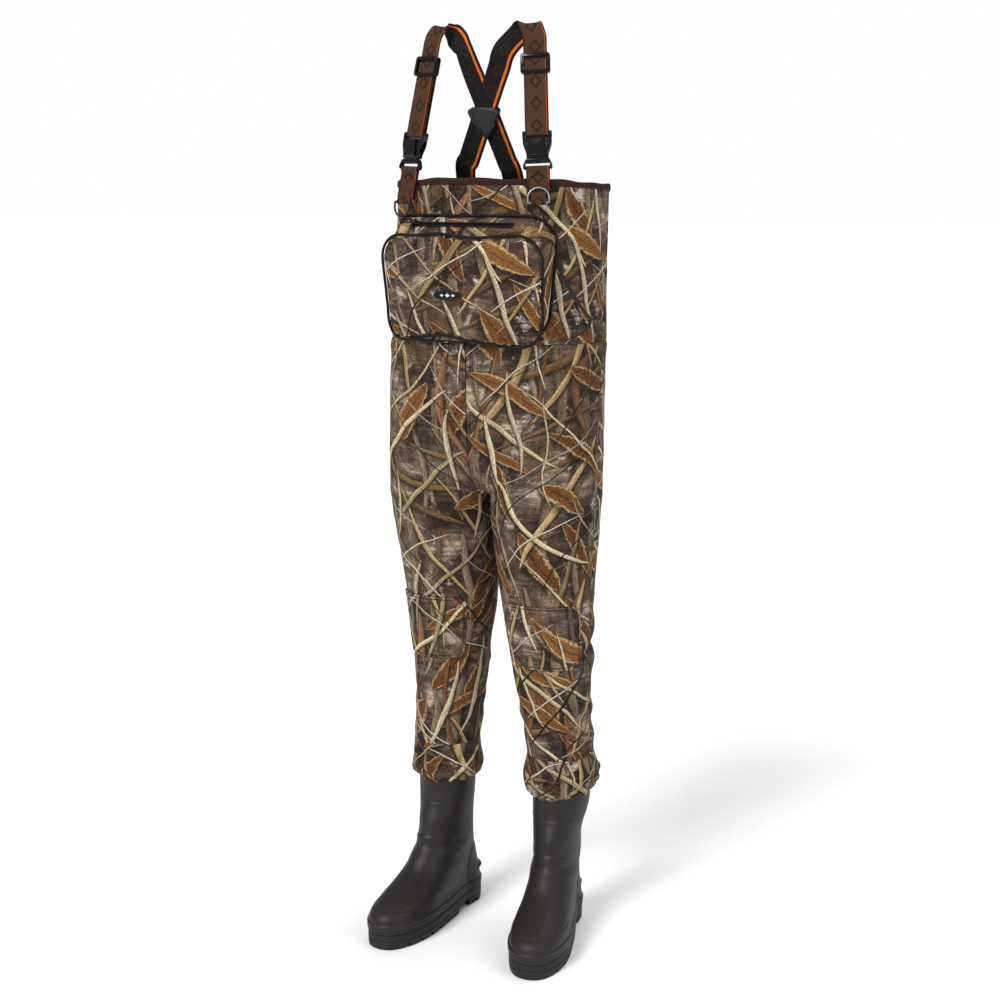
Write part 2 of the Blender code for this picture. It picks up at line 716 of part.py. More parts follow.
def build_zip_pull(frame):
    """A flat tab whose pin crosses the slider's eye. It lies outward along the zip."""
    tab = block("zip_pull", (-0.0300, -0.0050, -0.0006), (0.0008, 0.0050, 0.0006))
    keep(place(tab, frame), STEEL)
    combine(tab, block("zip_pull_hole", (-0.0064, -0.0034, -0.004), (-0.0008, 0.0034, 0.004)), "DIFFERENCE")


def build_badge():
    """An oval rubber badge on the pouch."""
    bpy.ops.mesh.primitive_cylinder_add(vertices=24, radius=1, depth=1)
    badge = bpy.context.object
    badge.name = badge.data.name = "pouch_badge"
    x, v = -0.012, -0.12
    u = x / POUCH_HALF
    y, z = front_surface(u, v).yz
    slope = front_surface(u, v + 0.05) - front_surface(u, v - 0.05)
    badge.data.transform(Matrix.Diagonal((0.027, 0.0085, 0.0020, 1)))
    tilt = Matrix.Rotation(math.atan2(slope.z, slope.y), 4, "X")
    badge.matrix_world = Matrix.Translation((x, y - 0.0022 - Y_MIDDLE, z)) @ tilt
    keep(badge, BLACK_PLASTIC)


# ---------------------------------------------------------------- straps


def webbing_loop(name, frame, low, high, back_y, gaps, width, thickness, mat):
    """A closed loop of flat webbing in a strap's frame: its back ply is straight, and its front ply stands
    gaps = (bottom, middle, top) in front of it."""
    reach = 0.009

    def gap(z):
        bottom = ramp(1 - (z - low) / reach)
        top = ramp(1 - (high - z) / reach)
        return gaps[1] + (gaps[0] - gaps[1]) * bottom + (gaps[2] - gaps[1]) * top

    def arc(z, opening, start, turn):
        middle, radius = back_y - opening / 2, opening / 2
        angles = [start + turn * i / 6 for i in range(1, 6)]
        return [(middle + radius * math.cos(a), z + radius * math.sin(a)) for a in angles]

    heights = steps(low, high, 8)
    line = [(back_y, z) for z in heights]
    line += arc(high, gaps[2], 0, math.pi)
    line += [(back_y - gap(z), z) for z in reversed(heights)]
    line += arc(low, gaps[0], math.pi, math.pi)
    across = frame.to_3x3() @ Vector((1, 0, 0))
    stations = [(frame @ Vector((0, y, z)), across) for y, z in line]
    return ribbon(name, stations, width, thickness, mat, closed=True)


def build_hairpin(name, frame):
    """The doubled strap between adjuster and socket, bent round the socket's bar."""
    front_y, back_y = -WEBBING / 2, 0.0067
    radius = (back_y - front_y) / 2
    middle = (front_y + back_y) / 2
    line = [(front_y, z) for z in steps(LOOP_TOP, SOCKET_BAR, 6)]
    turn = [math.pi + math.pi * i / 8 for i in range(1, 8)]
    line += [(middle + radius * math.cos(a), SOCKET_BAR + radius * math.sin(a)) for a in turn]
    line += [(back_y, z) for z in steps(SOCKET_BAR, LOOP_BACK_TOP, 5)]
    across = frame.to_3x3() @ Vector((1, 0, 0))
    stations = [(frame @ Vector((0, y, z)), across) for y, z in line]
    return ribbon(name, stations, WEBBING_WIDTH, WEBBING, STRAP)


def build_main_strap(side, name, frame):
    """From the adjuster over the shoulder, across the other strap, and down to the inside of the back."""
    x_axis = frame.to_3x3() @ Vector((1, 0, 0))
    y = GAP + WEBBING / 2 + 0.0001
    lean = Vector((0, math.sin(CROSSING_SLOPE), -math.cos(CROSSING_SLOPE)))
    out = Vector((0, -math.cos(CROSSING_SLOPE), -math.sin(CROSSING_SLOPE)))
    sideways = Vector((-side, 0, 0))
    angle = CROSSING_ANGLES[side]
    along = (lean * math.cos(angle) + sideways * math.sin(angle)).normalized()
    middle = Vector(JOINER) + Vector((CROSSING[0], 0, 0)) - lean * CROSSING[1] + out * (CROSSING_STEP * side)
    top = Vector((side * SHOULDER[0], *SHOULDER[1:]))
    wide = along.cross(out).normalized()
    if wide.x < 0:
        wide = -wide
    foot_x = BACK_FOOT[0] - side * BACK_FOOT[1]
    back = math.acos(math.copysign((abs(foot_x) / between(TORSO, 1.34)[1]) ** (BODY_ROUNDNESS / 2), foot_x))
    flat = torso_point(back - 0.05, 1.34) - torso_point(back + 0.05, 1.34)

    def inside(z, distance):
        return torso_point(back, z) - outward(torso_point, back, z, 0.01, 0.01) * distance

    rows = [(frame @ Vector((0, y, s)), x_axis) for s in (STRAP_END, 0.212, 0.233, 0.245)]
    rows += [
        (top + Vector((side * 0.001, -0.012, -0.004)), x_axis),
        (top + Vector((-side * 0.001, 0, 0)), x_axis),
        (top + Vector((-side * 0.009, 0.008, -0.012)), x_axis),
        (middle - along * 0.112, x_axis.lerp(wide, 0.25)),
        (middle - along * 0.080, x_axis.lerp(wide, 0.7)),
    ]
    rows += [(middle + along * s, wide) for s in (-0.055, -0.030, 0, 0.035, 0.070, 0.100, 0.125)]
    rows += [(inside(z, distance), flat.normalized()) for z, distance in ((1.338, 0.0135), (1.316, 0.0110), (1.286, 0.0100))]
    centre = spline([p for p, _ in rows])
    width = spline([w for _, w in rows])
    shares = steps(0, 1, 3 * (len(rows) - 1))
    return ribbon(f"{name}_strap", [(centre(s), width(s)) for s in shares], WEBBING_WIDTH, WEBBING, STRAP)


def build_ring(side, name, frame):
    """A D-ring: a straight bar in the keeper and an arc. The left one is flipped up and the right one hangs."""
    curve = bpy.data.curves.new(f"{name}_d_ring", "CURVE")
    curve.dimensions = "3D"
    curve.bevel_depth = RING_WIRE
    curve.bevel_resolution = 1
    line = curve.splines.new("POLY")
    shoulder = RING_HEIGHT - RING_HALF
    points = [(-RING_HALF, 0), (-RING_HALF, shoulder)]
    points += [(-RING_HALF * math.cos(a), shoulder + RING_HALF * math.sin(a)) for a in steps(0, math.pi, 12)[1:-1]]
    points += [(RING_HALF, shoulder), (RING_HALF, 0), (RING_HALF / 2, 0), (0, 0), (-RING_HALF / 2, 0)]
    line.points.add(len(points) - 1)
    for point, (x, z) in zip(line.points, points):
        point.co = (x, 0, z, 1)
    line.use_cyclic_u = True
    ring = bpy.data.objects.new(f"{name}_d_ring", curve)
    keep(ring, STEEL)
    rest = Matrix.Identity(4)
    if side < 0:
        lean = math.atan(RUN_LEAN[1] * math.cos(RUN_TURN) - RUN_LEAN[0] * math.sin(RUN_TURN))
        rest = Matrix.Rotation(math.pi + lean, 4, "X")
    return place(ring, frame @ Matrix.Translation((0, RING_BAR_Y, RING_BAR)) @ rest)


def build_male(name, frame):
    """The buckle's plug: webbing bar, shoulders and centre tongue."""
    low, waist = PLUG_BAR - 0.0017, PLUG_BAR + 0.004
    outline = [(-BUCKLE_HALF, low), (BUCKLE_HALF, low), (BUCKLE_HALF, waist), (0.0195, PLUG_TOP), (-0.0195, PLUG_TOP),
               (-BUCKLE_HALF, waist)]
    base = outline_plate(f"{name}_buckle_plug", outline, BUCKLE_Y - 0.0042, BUCKLE_Y + 0.0042)
    place(base, frame)
    keep(base, BLACK_PLASTIC)
    window = block(f"{name}_plug_window", (-POST_HALF, -0.02, PLUG_BAR - 0.01), (POST_HALF, 0.02, PLUG_TOP - 0.0085))
    bar = block(f"{name}_plug_bar", (-POST_HALF - 0.002, BUCKLE_Y - 0.0014, PLUG_BAR - 0.0014),
                (POST_HALF + 0.002, BUCKLE_Y + 0.0014, PLUG_BAR + 0.0014))
    tongue = block(f"{name}_plug_tongue", (-0.0048, BUCKLE_Y - 0.0020, PLUG_TOP - 0.002), (0.0048, BUCKLE_Y + 0.0020, SOCKET_MOUTH + 0.027))
    combine(base, window, "DIFFERENCE")
    combine(base, bar, "UNION")
    combine(base, tongue, "UNION")


def build_prong(name, frame, hand):
    """A spring arm beside the tongue, with the head that a thumb squeezes."""
    root = SOCKET_MOUTH
    outline = [(0.0135, 0), (0.0175, 0), (0.0175, 0.0115), (0.0212, 0.0175), (0.0196, 0.0265), (0.0152, 0.0265), (0.0135, 0.0145)]
    outline = [(hand * x, root + z) for x, z in outline]
    side = "left" if hand > 0 else "right"
    prong = outline_plate(f"{name}_buckle_{side}_prong", outline, BUCKLE_Y - 0.0024, BUCKLE_Y + 0.0024)
    place(prong, frame)
    keep(prong, BLACK_PLASTIC)


def build_socket(name, frame):
    """The buckle's female half: two cheeks round the plug, and the bar that the strap bends round."""
    top, mouth = SOCKET_TOP, SOCKET_MOUTH
    outline = [(0.0185, mouth), (0.0190, mouth + 0.006), (0.0215, mouth + 0.014), (0.0240, mouth + 0.025), (0.0250, top - 0.012), (0.0246, top)]
    outline += [(-x, z) for x, z in reversed(outline)]
    body = outline_plate(f"{name}_buckle_socket", outline, BUCKLE_Y - 0.0056, BUCKLE_Y + 0.0056)
    place(body, frame)
    keep(body, BLACK_PLASTIC)
    inside = block(f"{name}_socket_inside", (-0.03, BUCKLE_Y - 0.0032, mouth - 0.01), (0.03, BUCKLE_Y + 0.0032, mouth + 0.030))
    window = block(f"{name}_socket_window", (-POST_HALF, -0.02, top - 0.0105), (POST_HALF, 0.02, top + 0.01))
    bar = block(f"{name}_socket_bar", (-POST_HALF - 0.002, BUCKLE_Y - 0.0018, SOCKET_BAR - 0.0018),
                (POST_HALF + 0.002, BUCKLE_Y + 0.0018, SOCKET_BAR + 0.0018))
    combine(body, inside, "DIFFERENCE")
    combine(body, window, "DIFFERENCE")
    combine(body, bar, "UNION")


def build_adjuster(name, frame):
    """A tri-glide: its rails pass in front of the strap and its centre bar behind."""
    half, tall = 0.0245, 0.0165
    front, back = -0.0052, 0.0053
    rail = block(f"{name}_adjuster", (POST_HALF - 0.0002, front, -tall), (half, back, tall))
    place(rail, frame @ Matrix.Translation((0, 0, ADJUSTER)))
    keep(rail, BLACK_PLASTIC)
    pieces = {
        "other_rail": ((-half, front, -tall), (-POST_HALF + 0.0002, back, tall)),
        "top": ((-half + 0.001, front + 0.0001, tall - 0.0042), (half - 0.001, -0.0026, tall - 0.0001)),
        "bottom": ((-half + 0.001, front + 0.0001, -tall + 0.0001), (half - 0.001, -0.0026, -tall + 0.0042)),
        "centre": ((-half + 0.001, 0.0029, -0.0028), (half - 0.001, back - 0.0001, 0.0028)),
    }
    for part, (low, high) in pieces.items():
        combine(rail, block(f"{name}_adjuster_{part}", low, high), "UNION")


def build_side(side, name):
    frame = run_frame(side)
    webbing_loop(f"{name}_strap_tab", frame, RING_BAR + 0.010, PLUG_BAR, TAB_BACK_Y, (0.0030, 0.0030, 0.0064),
                 WEBBING_WIDTH, TAB_WEBBING, STRAP)
    webbing_loop(f"{name}_ring_keeper", frame, RING_BAR, RING_BAR + 0.017, RING_BAR_Y + 0.0029, (0.0058, 0.0020, 0.0020),
                 KEEPER_WIDTH, KEEPER_WEBBING, STRAP)
    build_ring(side, name, frame)
    build_male(name, frame)
    for hand in (1, -1):
        build_prong(name, frame, hand)
    build_socket(name, frame)
    build_hairpin(f"{name}_strap_loop", frame)
    build_adjuster(name, frame)
    build_main_strap(side, name, frame)


def build_joiner():
    """Two plates that clasp the straps where they cross."""
    top, point, half, bulge = 0.026, -0.031, 0.030, 0.005
    corners = [(-half, top - 0.006), (half, top - 0.006), (0, point)]
    outline = []
    for (x0, z0), (x1, z1) in zip(corners, corners[1:] + corners[:1]):
        for t in steps(0.06, 0.94, 6):
            swell = bulge * 4 * t * (1 - t)
            length = math.hypot(x1 - x0, z1 - z0)
            nx, nz = -(z1 - z0) / length, (x1 - x0) / length
            outline.append((x0 + (x1 - x0) * t + nx * swell, z0 + (z1 - z0) * t + nz * swell))
    outline.reverse()
    frame = Matrix.Translation(JOINER) @ Matrix.Rotation(CROSSING_SLOPE, 4, "X")
    stack = CROSSING_STEP + WEBBING / 2 + 2 * GAP
    for name, low in (("joiner_front_plate", -stack - 0.0026), ("joiner_back_plate", stack)):
        plate = outline_plate(name, outline, low, low + 0.0026)
        place(plate, frame)
        keep(plate, BLACK_PLASTIC)


for thing in list(bpy.data.objects):
    bpy.data.objects.remove(thing)
PARTS = bpy.data.collections.new("chest_waders")
CUTTERS = bpy.data.collections.new("cutters")
bpy.context.scene.collection.children.link(PARTS)
bpy.context.scene.collection.children.link(CUTTERS)
CAMO = material("camouflage neoprene", (0.20, 0.14, 0.09), 0.85)
BROWN = material("brown tape", (0.10, 0.035, 0.02), 0.8)
STRAP = material("brown webbing", (0.11, 0.05, 0.02), 0.85)
BLACK_CLOTH = material("black cloth", (0.01, 0.01, 0.01), 0.8)
RUBBER = material("boot rubber", (0.03, 0.024, 0.02), 0.5)
BLACK_PLASTIC = material("black plastic", (0.015, 0.016, 0.018), 0.4)
STEEL = material("steel", (0.35, 0.37, 0.4), 0.35, 1.0)
OUTLINE = sole_outline()
SEAM_ANGLE = 0.0008  # half the gap at the bib's side seams
FRONT_ANGLES = steps(-math.pi + SEAM_ANGLE, -SEAM_ANGLE, BIB_SPANS)
SEAM_SHARE = 0.0005  # half the gap at a leg's seams
LEG_SHARES = steps(SEAM_SHARE, 0.5 - SEAM_SHARE, LEG_SPANS)
KNEE_HEIGHTS = steps(0.528, 0.650, 2)
KNEE_FROM, KNEE_TO = 2, 8  # the leg's facets that a knee patch covers
BOOT_PLACE = Matrix.Translation((BOOT_X, BOOT_Y, 0)) @ Matrix.Rotation(TOE_OUT, 4, "Z")

build_bib()
build_legs()
build_boots()
build_hand_warmer()
build_pouch()
for one_side, one_name in ((1, "left"), (-1, "right")):
    build_side(one_side, one_name)
build_joiner()
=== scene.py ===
"""Looks of the chest waders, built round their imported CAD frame.

Everything is in metres in the CAD's frame: +Z is up and the wearer faces -Y. Shapes are worked out with y measured
from the middle of the hips, and BACK moves them to the frame.
"""

import math
from functools import partialmethod

import bmesh
import bpy
import numpy as np
from mathutils import Matrix, Vector
from mathutils.noise import noise as gradient_noise


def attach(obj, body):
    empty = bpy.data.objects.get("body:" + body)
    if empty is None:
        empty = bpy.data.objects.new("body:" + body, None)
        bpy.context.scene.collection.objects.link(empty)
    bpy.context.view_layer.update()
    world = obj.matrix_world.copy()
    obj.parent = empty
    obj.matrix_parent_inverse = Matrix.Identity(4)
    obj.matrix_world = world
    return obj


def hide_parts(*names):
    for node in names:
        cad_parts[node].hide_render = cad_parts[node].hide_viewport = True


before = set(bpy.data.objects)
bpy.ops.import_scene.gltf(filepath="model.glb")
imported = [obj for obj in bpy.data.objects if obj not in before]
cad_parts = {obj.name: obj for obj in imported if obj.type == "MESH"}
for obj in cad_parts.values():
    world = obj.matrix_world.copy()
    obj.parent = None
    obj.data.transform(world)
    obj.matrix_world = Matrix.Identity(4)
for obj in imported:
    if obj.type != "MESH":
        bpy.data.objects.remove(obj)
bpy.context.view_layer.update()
BACK = 0.0582

# ---------------------------------------------------------------- camera, light and floor

camera = bpy.data.objects.new("camera", bpy.data.cameras.new("camera"))
bpy.context.scene.collection.objects.link(camera)
VIEW_AZIMUTH, VIEW_PITCH, VIEW_REACH, VIEW_Z = math.radians(24), math.radians(10.83), 3, 1.395
camera.location = (VIEW_REACH * math.sin(VIEW_AZIMUTH), BACK - VIEW_REACH * math.cos(VIEW_AZIMUTH), VIEW_Z)
camera.rotation_euler = (math.pi / 2 - VIEW_PITCH, 0, VIEW_AZIMUTH)
camera.data.lens = 59.65
camera.data.sensor_width = 36
bpy.context.scene.camera = camera


def sun(name, azimuth, elevation, strength, softness):
    """A distant soft light. Azimuth 0 is in front of the waders and 90 at their left."""
    light = bpy.data.objects.new(name, bpy.data.lights.new(name, "SUN"))
    light.data.energy = strength
    light.data.angle = math.radians(softness)
    light.rotation_euler = (math.radians(90 - elevation), 0, math.radians(azimuth))
    bpy.context.scene.collection.objects.link(light)


sun("key_light", -14, 42, 2.5, 24)
sun("fill_light", 74, 30, 0.75, 40)
sun("top_light", 160, 66, 0.9, 40)
world = bpy.data.worlds.new("studio")
world.use_nodes = True
world_nodes, world_links = world.node_tree.nodes, world.node_tree.links
backdrop, surroundings = world_nodes["Background"], world_nodes.new("ShaderNodeBackground")
backdrop.inputs["Color"].default_value = surroundings.inputs["Color"].default_value = (1, 1, 1, 1)
surroundings.inputs["Strength"].default_value = 0.42
chooser = world_nodes.new("ShaderNodeMixShader")
world_links.new(world_nodes.new("ShaderNodeLightPath").outputs["Is Camera Ray"], chooser.inputs[0])
world_links.new(surroundings.outputs[0], chooser.inputs[1])
world_links.new(backdrop.outputs[0], chooser.inputs[2])
world_links.new(chooser.outputs[0], world_nodes["World Output"].inputs[0])
bpy.context.scene.world = world
bpy.context.scene.view_settings.view_transform = "Standard"

# ---------------------------------------------------------------- materials


class Paint:
    """Builds one material's nodes."""

    def __init__(self, name, tree=None):
        if tree is None:
            self.material = bpy.data.materials.new(name)
            self.material.use_nodes = True
            tree = self.material.node_tree
            self.shader = tree.nodes["Principled BSDF"]
        self.tree = tree

    def node(self, kind, inputs=(), **settings):
        made = self.tree.nodes.new(kind)
        for key, value in settings.items():
            setattr(made, key, value)
        for socket, value in dict(inputs).items():
            self.feed(made.inputs[socket], value)
        return made

    def feed(self, socket, value):
        if isinstance(value, bpy.types.NodeSocket):
            self.tree.links.new(value, socket)
        elif value is not None:
            if socket.type == "RGBA" and len(value) == 3:
                value = (*value, 1)
            socket.default_value = value

    def sum(self, operation, *values, clamp=False):
        inputs = dict(enumerate(values))
        return self.node("ShaderNodeMath", inputs, operation=operation, use_clamp=clamp).outputs[0]

    add = partialmethod(sum, "ADD")
    less = partialmethod(sum, "SUBTRACT")
    times = partialmethod(sum, "MULTIPLY")
    over = partialmethod(sum, "DIVIDE")
    blend = partialmethod(sum, "MULTIPLY_ADD")

    def mix(self, share, a, b, blend="MIX"):
        made = self.node("ShaderNodeMix", data_type="RGBA", blend_type=blend)
        self.feed(made.inputs[0], share)
        self.feed(made.inputs[6], a)
        self.feed(made.inputs[7], b)
        return made.outputs[2]

    def noise(self, vector, scale, detail=2.0, roughness=0.5, distortion=0.0):
        inputs = {"Vector": vector, "Scale": scale, "Detail": detail, "Roughness": roughness,
                  "Distortion": distortion}
        return self.node("ShaderNodeTexNoise", inputs).outputs[0]

    def stretch(self, vector, scale, place=(0, 0, 0)):
        inputs = {"Vector": vector, "Scale": scale, "Location": place}
        return self.node("ShaderNodeMapping", inputs).outputs[0]

    def ramp(self, value, *stops):
        """Colour at each (place, colour), smooth between them."""
        made = self.node("ShaderNodeValToRGB", {0: value})
        ramp = made.color_ramp
        while len(ramp.elements) < len(stops):
            ramp.elements.new(0.5)
        for element, (place, colour) in zip(ramp.elements, stops):
            element.position = place
            element.color = (*colour, 1) if isinstance(colour, tuple) else (colour, colour, colour, 1)
        return made.outputs[0]

    def place(self):
        return self.node("ShaderNodeTexCoord").outputs["Object"]

    def uv(self):
        return self.node("ShaderNodeUVMap", uv_map="print").outputs[0]

    def parts(self, vector):
        return self.node("ShaderNodeSeparateXYZ", {0: vector}).outputs

    def finish(self, colour=None, roughness=None, height=None, depth=0.001, metallic=0.0, **fixed):
        """Feeds the shader. height is a bump of that depth, in metres. fixed holds other sockets' even values."""
        self.feed(self.shader.inputs["Base Color"], colour)
        self.feed(self.shader.inputs["Roughness"], roughness)
        self.shader.inputs["Metallic"].default_value = metallic
        for socket, value in fixed.items():
            self.feed(self.shader.inputs[socket.replace("_", " ")], value)
        if height is not None:
            bump = self.node("ShaderNodeBump", {"Height": height, "Distance": depth, "Strength": 1.0})
            self.feed(self.shader.inputs["Normal"], bump.outputs[0])
        return self.material


def strokes_group():
    """One layer of scattered, curved, tapering strokes. Each cell of a staggered grid holds one at most."""
    tree = bpy.data.node_groups.new("strokes", "ShaderNodeTree")
    face = tree.interface
    face.new_socket("Vector", in_out="INPUT", socket_type="NodeSocketVector")
    for name in ("Angle", "Length", "Width", "Half", "Bend", "Taper", "Share", "Seed", "Wobble", "Torn"):
        face.new_socket(name, in_out="INPUT", socket_type="NodeSocketFloat")
    for name in ("Mask", "Across", "Shadow", "Random", "Along"):
        face.new_socket(name, in_out="OUTPUT", socket_type="NodeSocketFloat")
    p = Paint("", tree)
    given = tree.nodes.new("NodeGroupInput").outputs
    turned = p.node("ShaderNodeVectorRotate", {"Vector": given["Vector"], "Angle": given["Angle"]},
                    rotation_type="Z_AXIS").outputs[0]
    wobble = p.noise(p.stretch(turned, (9, 9, 9)), 1.0, 1.0)
    x, y, _ = p.parts(turned)
    y = p.add(y, p.times(p.less(wobble, 0.5), given["Wobble"]))
    y = p.add(p.over(y, given["Width"]), given["Seed"])
    row = p.sum("FLOOR", y)
    stagger = p.node("ShaderNodeTexWhiteNoise", {"W": p.add(row, given["Seed"])}, noise_dimensions="1D")
    x = p.add(p.over(x, given["Length"]), p.times(stagger.outputs[0], 7.3))
    column = p.sum("FLOOR", x)
    across, along = p.less(y, row), p.less(x, column)
    cell = p.node("ShaderNodeCombineXYZ", {0: row, 1: column, 2: given["Seed"]}).outputs[0]
    first = p.parts(p.node("ShaderNodeTexWhiteNoise", {"Vector": cell}).outputs["Color"])
    cell = p.node("ShaderNodeVectorMath", {0: cell, 1: (5.1, 3.7, 9.2)}, operation="ADD").outputs[0]
    second = p.parts(p.node("ShaderNodeTexWhiteNoise", {"Vector": cell}).outputs["Color"])
    span = p.blend(first[0], 0.35, 0.62)
    start = p.times(p.less(1.0, span), first[1])
    t = p.over(p.less(along, start), span, clamp=True)
    half = p.times(given["Half"], p.blend(first[2], 0.9, 0.45))
    bow = p.times(given["Bend"], p.less(p.times(second[0], 2.0), 1.0))
    crest = p.times(p.times(t, p.less(1.0, t)), 4.0)
    room = p.less(1.0, p.blend(given["Bend"], 1.0, p.times(given["Half"], 2.7)))
    middle = p.blend(p.less(second[1], 0.5), room, 0.5)
    middle = p.blend(bow, p.less(crest, 0.5), middle)
    width = p.times(half, p.sum("POWER", crest, given["Taper"]))
    width = p.sum("MAXIMUM", width, 0.0001)
    offset = p.over(p.less(across, middle), width)
    torn = p.less(p.noise(turned, 95.0, 4.0, 0.65), 0.5)
    offset = p.blend(torn, given["Torn"], offset)
    shown = p.sum("LESS_THAN", second[2], given["Share"])
    inside = p.times(p.less(1.0, p.sum("ABSOLUTE", offset)), 5.0, clamp=True)
    near = p.times(p.less(1.7, p.sum("ABSOLUTE", p.add(offset, 0.35))), 1.3, clamp=True)
    ends = p.sum("GREATER_THAN", crest, 0.002)
    shown = p.times(shown, ends)
    out = tree.nodes.new("NodeGroupOutput").inputs
    for name, value in (("Mask", p.times(inside, shown)), ("Across", offset),
                        ("Shadow", p.times(near, shown)), ("Random", first[1]), ("Along", t)):
        p.feed(out[name], value)
    return tree


STROKES = strokes_group()


def strokes(p, vector, **settings):
    made = p.node("ShaderNodeGroup")
    made.node_tree = STROKES
    p.feed(made.inputs["Vector"], vector)
    for name, value in settings.items():
        made.inputs[name].default_value = value
    return made.outputs


# Each layer of the print: turn in degrees, cell length and width in metres, half width as a share of the cell, bend,
# taper, share of cells filled, raggedness, dark and light colours, how dark its shadow is, and whether it is a leaf.
PRINT_LAYERS = [
    (86, 0.26, 0.052, 0.19, 0.28, 0.30, 0.85, 0.90, (0.060, 0.036, 0.021), (0.34, 0.245, 0.155), 0.70, False),
    (-20, 0.28, 0.060, 0.10, 0.40, 0.60, 0.60, 0.60, (0.075, 0.033, 0.011), (0.27, 0.150, 0.060), 0.80, False),
    (58, 0.150, 0.085, 0.23, 0.08, 0.75, 0.48, 0.85, (0.075, 0.024, 0.006), (0.215, 0.080, 0.020), 0.90, True),
    (-63, 0.36, 0.072, 0.085, 0.45, 0.50, 0.85, 0.45, (0.150, 0.076, 0.022), (0.66, 0.46, 0.215), 0.90, False),
    (100, 0.28, 0.090, 0.10, 0.55, 0.45, 0.65, 0.45, (0.130, 0.046, 0.015), (0.36, 0.175, 0.082), 0.80, False),
    (27, 0.175, 0.100, 0.16, 0.12, 0.80, 0.42, 0.80, (0.085, 0.028, 0.006), (0.250, 0.102, 0.026), 0.90, True),
    (38, 0.42, 0.070, 0.060, 0.45, 0.45, 0.85, 0.35, (0.270, 0.170, 0.075), (0.88, 0.72, 0.45), 0.95, False),
    (75, 0.22, 0.052, 0.085, 0.35, 0.60, 0.60, 0.45, (0.240, 0.155, 0.080), (0.80, 0.67, 0.46), 0.92, False),
    (-34, 0.24, 0.060, 0.024, 0.45, 0.35, 0.60, 0.20, (0.45, 0.37, 0.28), (0.80, 0.73, 0.64), 0.80, False),
    (-48, 0.30, 0.070, 0.028, 0.40, 0.40, 0.60, 0.20, (0.006, 0.004, 0.003), (0.030, 0.019, 0.013), 0.0, False),
]


def camo_material():
    p = Paint("printed_neoprene")
    uv = p.uv()
    streaks = p.noise(p.stretch(uv, (20, 120, 1)), 1.0, 6.0, 0.72, 0.6)
    upright = p.noise(p.stretch(uv, (130, 22, 1), (5, 2, 0)), 1.0, 5.0, 0.7, 0.4)
    patches = p.noise(p.stretch(uv, (9, 13, 1), (3, 1, 0)), 1.0, 4.0, 0.6, 0.5)
    tone = p.blend(patches, 1.35, p.times(streaks, 0.60))
    tone = p.blend(upright, 0.25, p.less(tone, 0.62), clamp=True)
    colour = p.ramp(tone, (0.24, (0.009, 0.006, 0.004)), (0.38, (0.030, 0.019, 0.013)), (0.50, (0.078, 0.051, 0.035)),
                    (0.62, (0.168, 0.117, 0.082)), (0.76, (0.50, 0.40, 0.30)))
    warm = p.ramp(p.noise(p.stretch(uv, (13, 10, 1), (1, 9, 0)), 1.0, 4.0, 0.65, 0.8), (0.54, 0.0), (0.64, 0.65))
    colour = p.mix(warm, colour, p.mix(streaks, (0.05, 0.020, 0.007), (0.25, 0.120, 0.050)))
    pale = p.noise(p.stretch(uv, (15, 11, 1), (7, 4, 0)), 1.0, 6.0, 0.72, 0.7)
    pale = p.ramp(pale, (0.565, 0.0), (0.625, 0.85))
    bark = p.ramp(streaks, (0.40, 0.0), (0.60, 1.0))
    colour = p.mix(pale, colour, p.mix(bark, (0.16, 0.115, 0.080), (0.76, 0.69, 0.60)))
    grain = p.noise(p.stretch(uv, (330, 420, 1)), 1.0, 4.0, 0.75)
    for seed, layer in enumerate(PRINT_LAYERS):
        turn, length, width, half, bend, taper, share, torn, dark, light, shade, leaf = layer
        out = strokes(p, uv, Angle=math.radians(turn), Length=length, Width=width, Half=half, Bend=bend, Taper=taper,
                      Share=share, Seed=3.0 + 17.0 * seed, Wobble=0.030, Torn=torn)
        fibre = p.node("ShaderNodeCombineXYZ", {0: p.times(out["Along"], 7.0 if leaf else 5.0),
                                                1: p.times(out["Across"], 2.6), 2: out["Random"]}).outputs[0]
        fibre = p.noise(fibre, 2.1, 5.0, 0.75)
        tint = p.blend(p.less(fibre, 0.5), 3.4, p.blend(out["Random"], 0.7, 0.22), clamp=True)
        tint = p.mix(tint, dark, light)
        side = p.sum("ABSOLUTE", out["Across"])
        if leaf:
            rim = p.times(p.ramp(side, (0.62, 0.0), (0.82, 1.0)), p.ramp(fibre, (0.42, 0.0), (0.50, 0.9)))
            tint = p.mix(rim, tint, (0.66, 0.46, 0.22))
            tint = p.mix(p.ramp(side, (0.03, 0.8), (0.09, 0.0)), tint, (0.030, 0.011, 0.004))
        else:
            edge = p.blend(out["Across"], 0.42, 0.86, clamp=True)
            edge = p.times(edge, p.ramp(side, (0.66, 1.0), (0.95, 0.35)))
            grey = p.node("ShaderNodeCombineColor", {0: edge, 1: edge, 2: edge}).outputs[0]
            tint = p.mix(1.0, tint, grey, "MULTIPLY")
        shadow = p.times(out["Shadow"], shade)
        colour = p.mix(shadow, colour, p.mix(0.80, colour, (0.006, 0.004, 0.003)))
        colour = p.mix(out["Mask"], colour, tint)
    colour = p.mix(p.ramp(grain, (0.40, 0.62), (0.56, 0.0)), colour, (0.010, 0.006, 0.004))
    colour = p.mix(p.ramp(grain, (0.60, 0.0), (0.74, 0.55)), colour, p.mix(0.5, colour, (0.60, 0.48, 0.34)))
    knit = p.noise(p.stretch(uv, (1500, 900, 1)), 1.0, 1.0)
    return p.finish(colour, p.blend(grain, 0.12, 0.80), knit, 0.0002, Specular_IOR_Level=0.2)


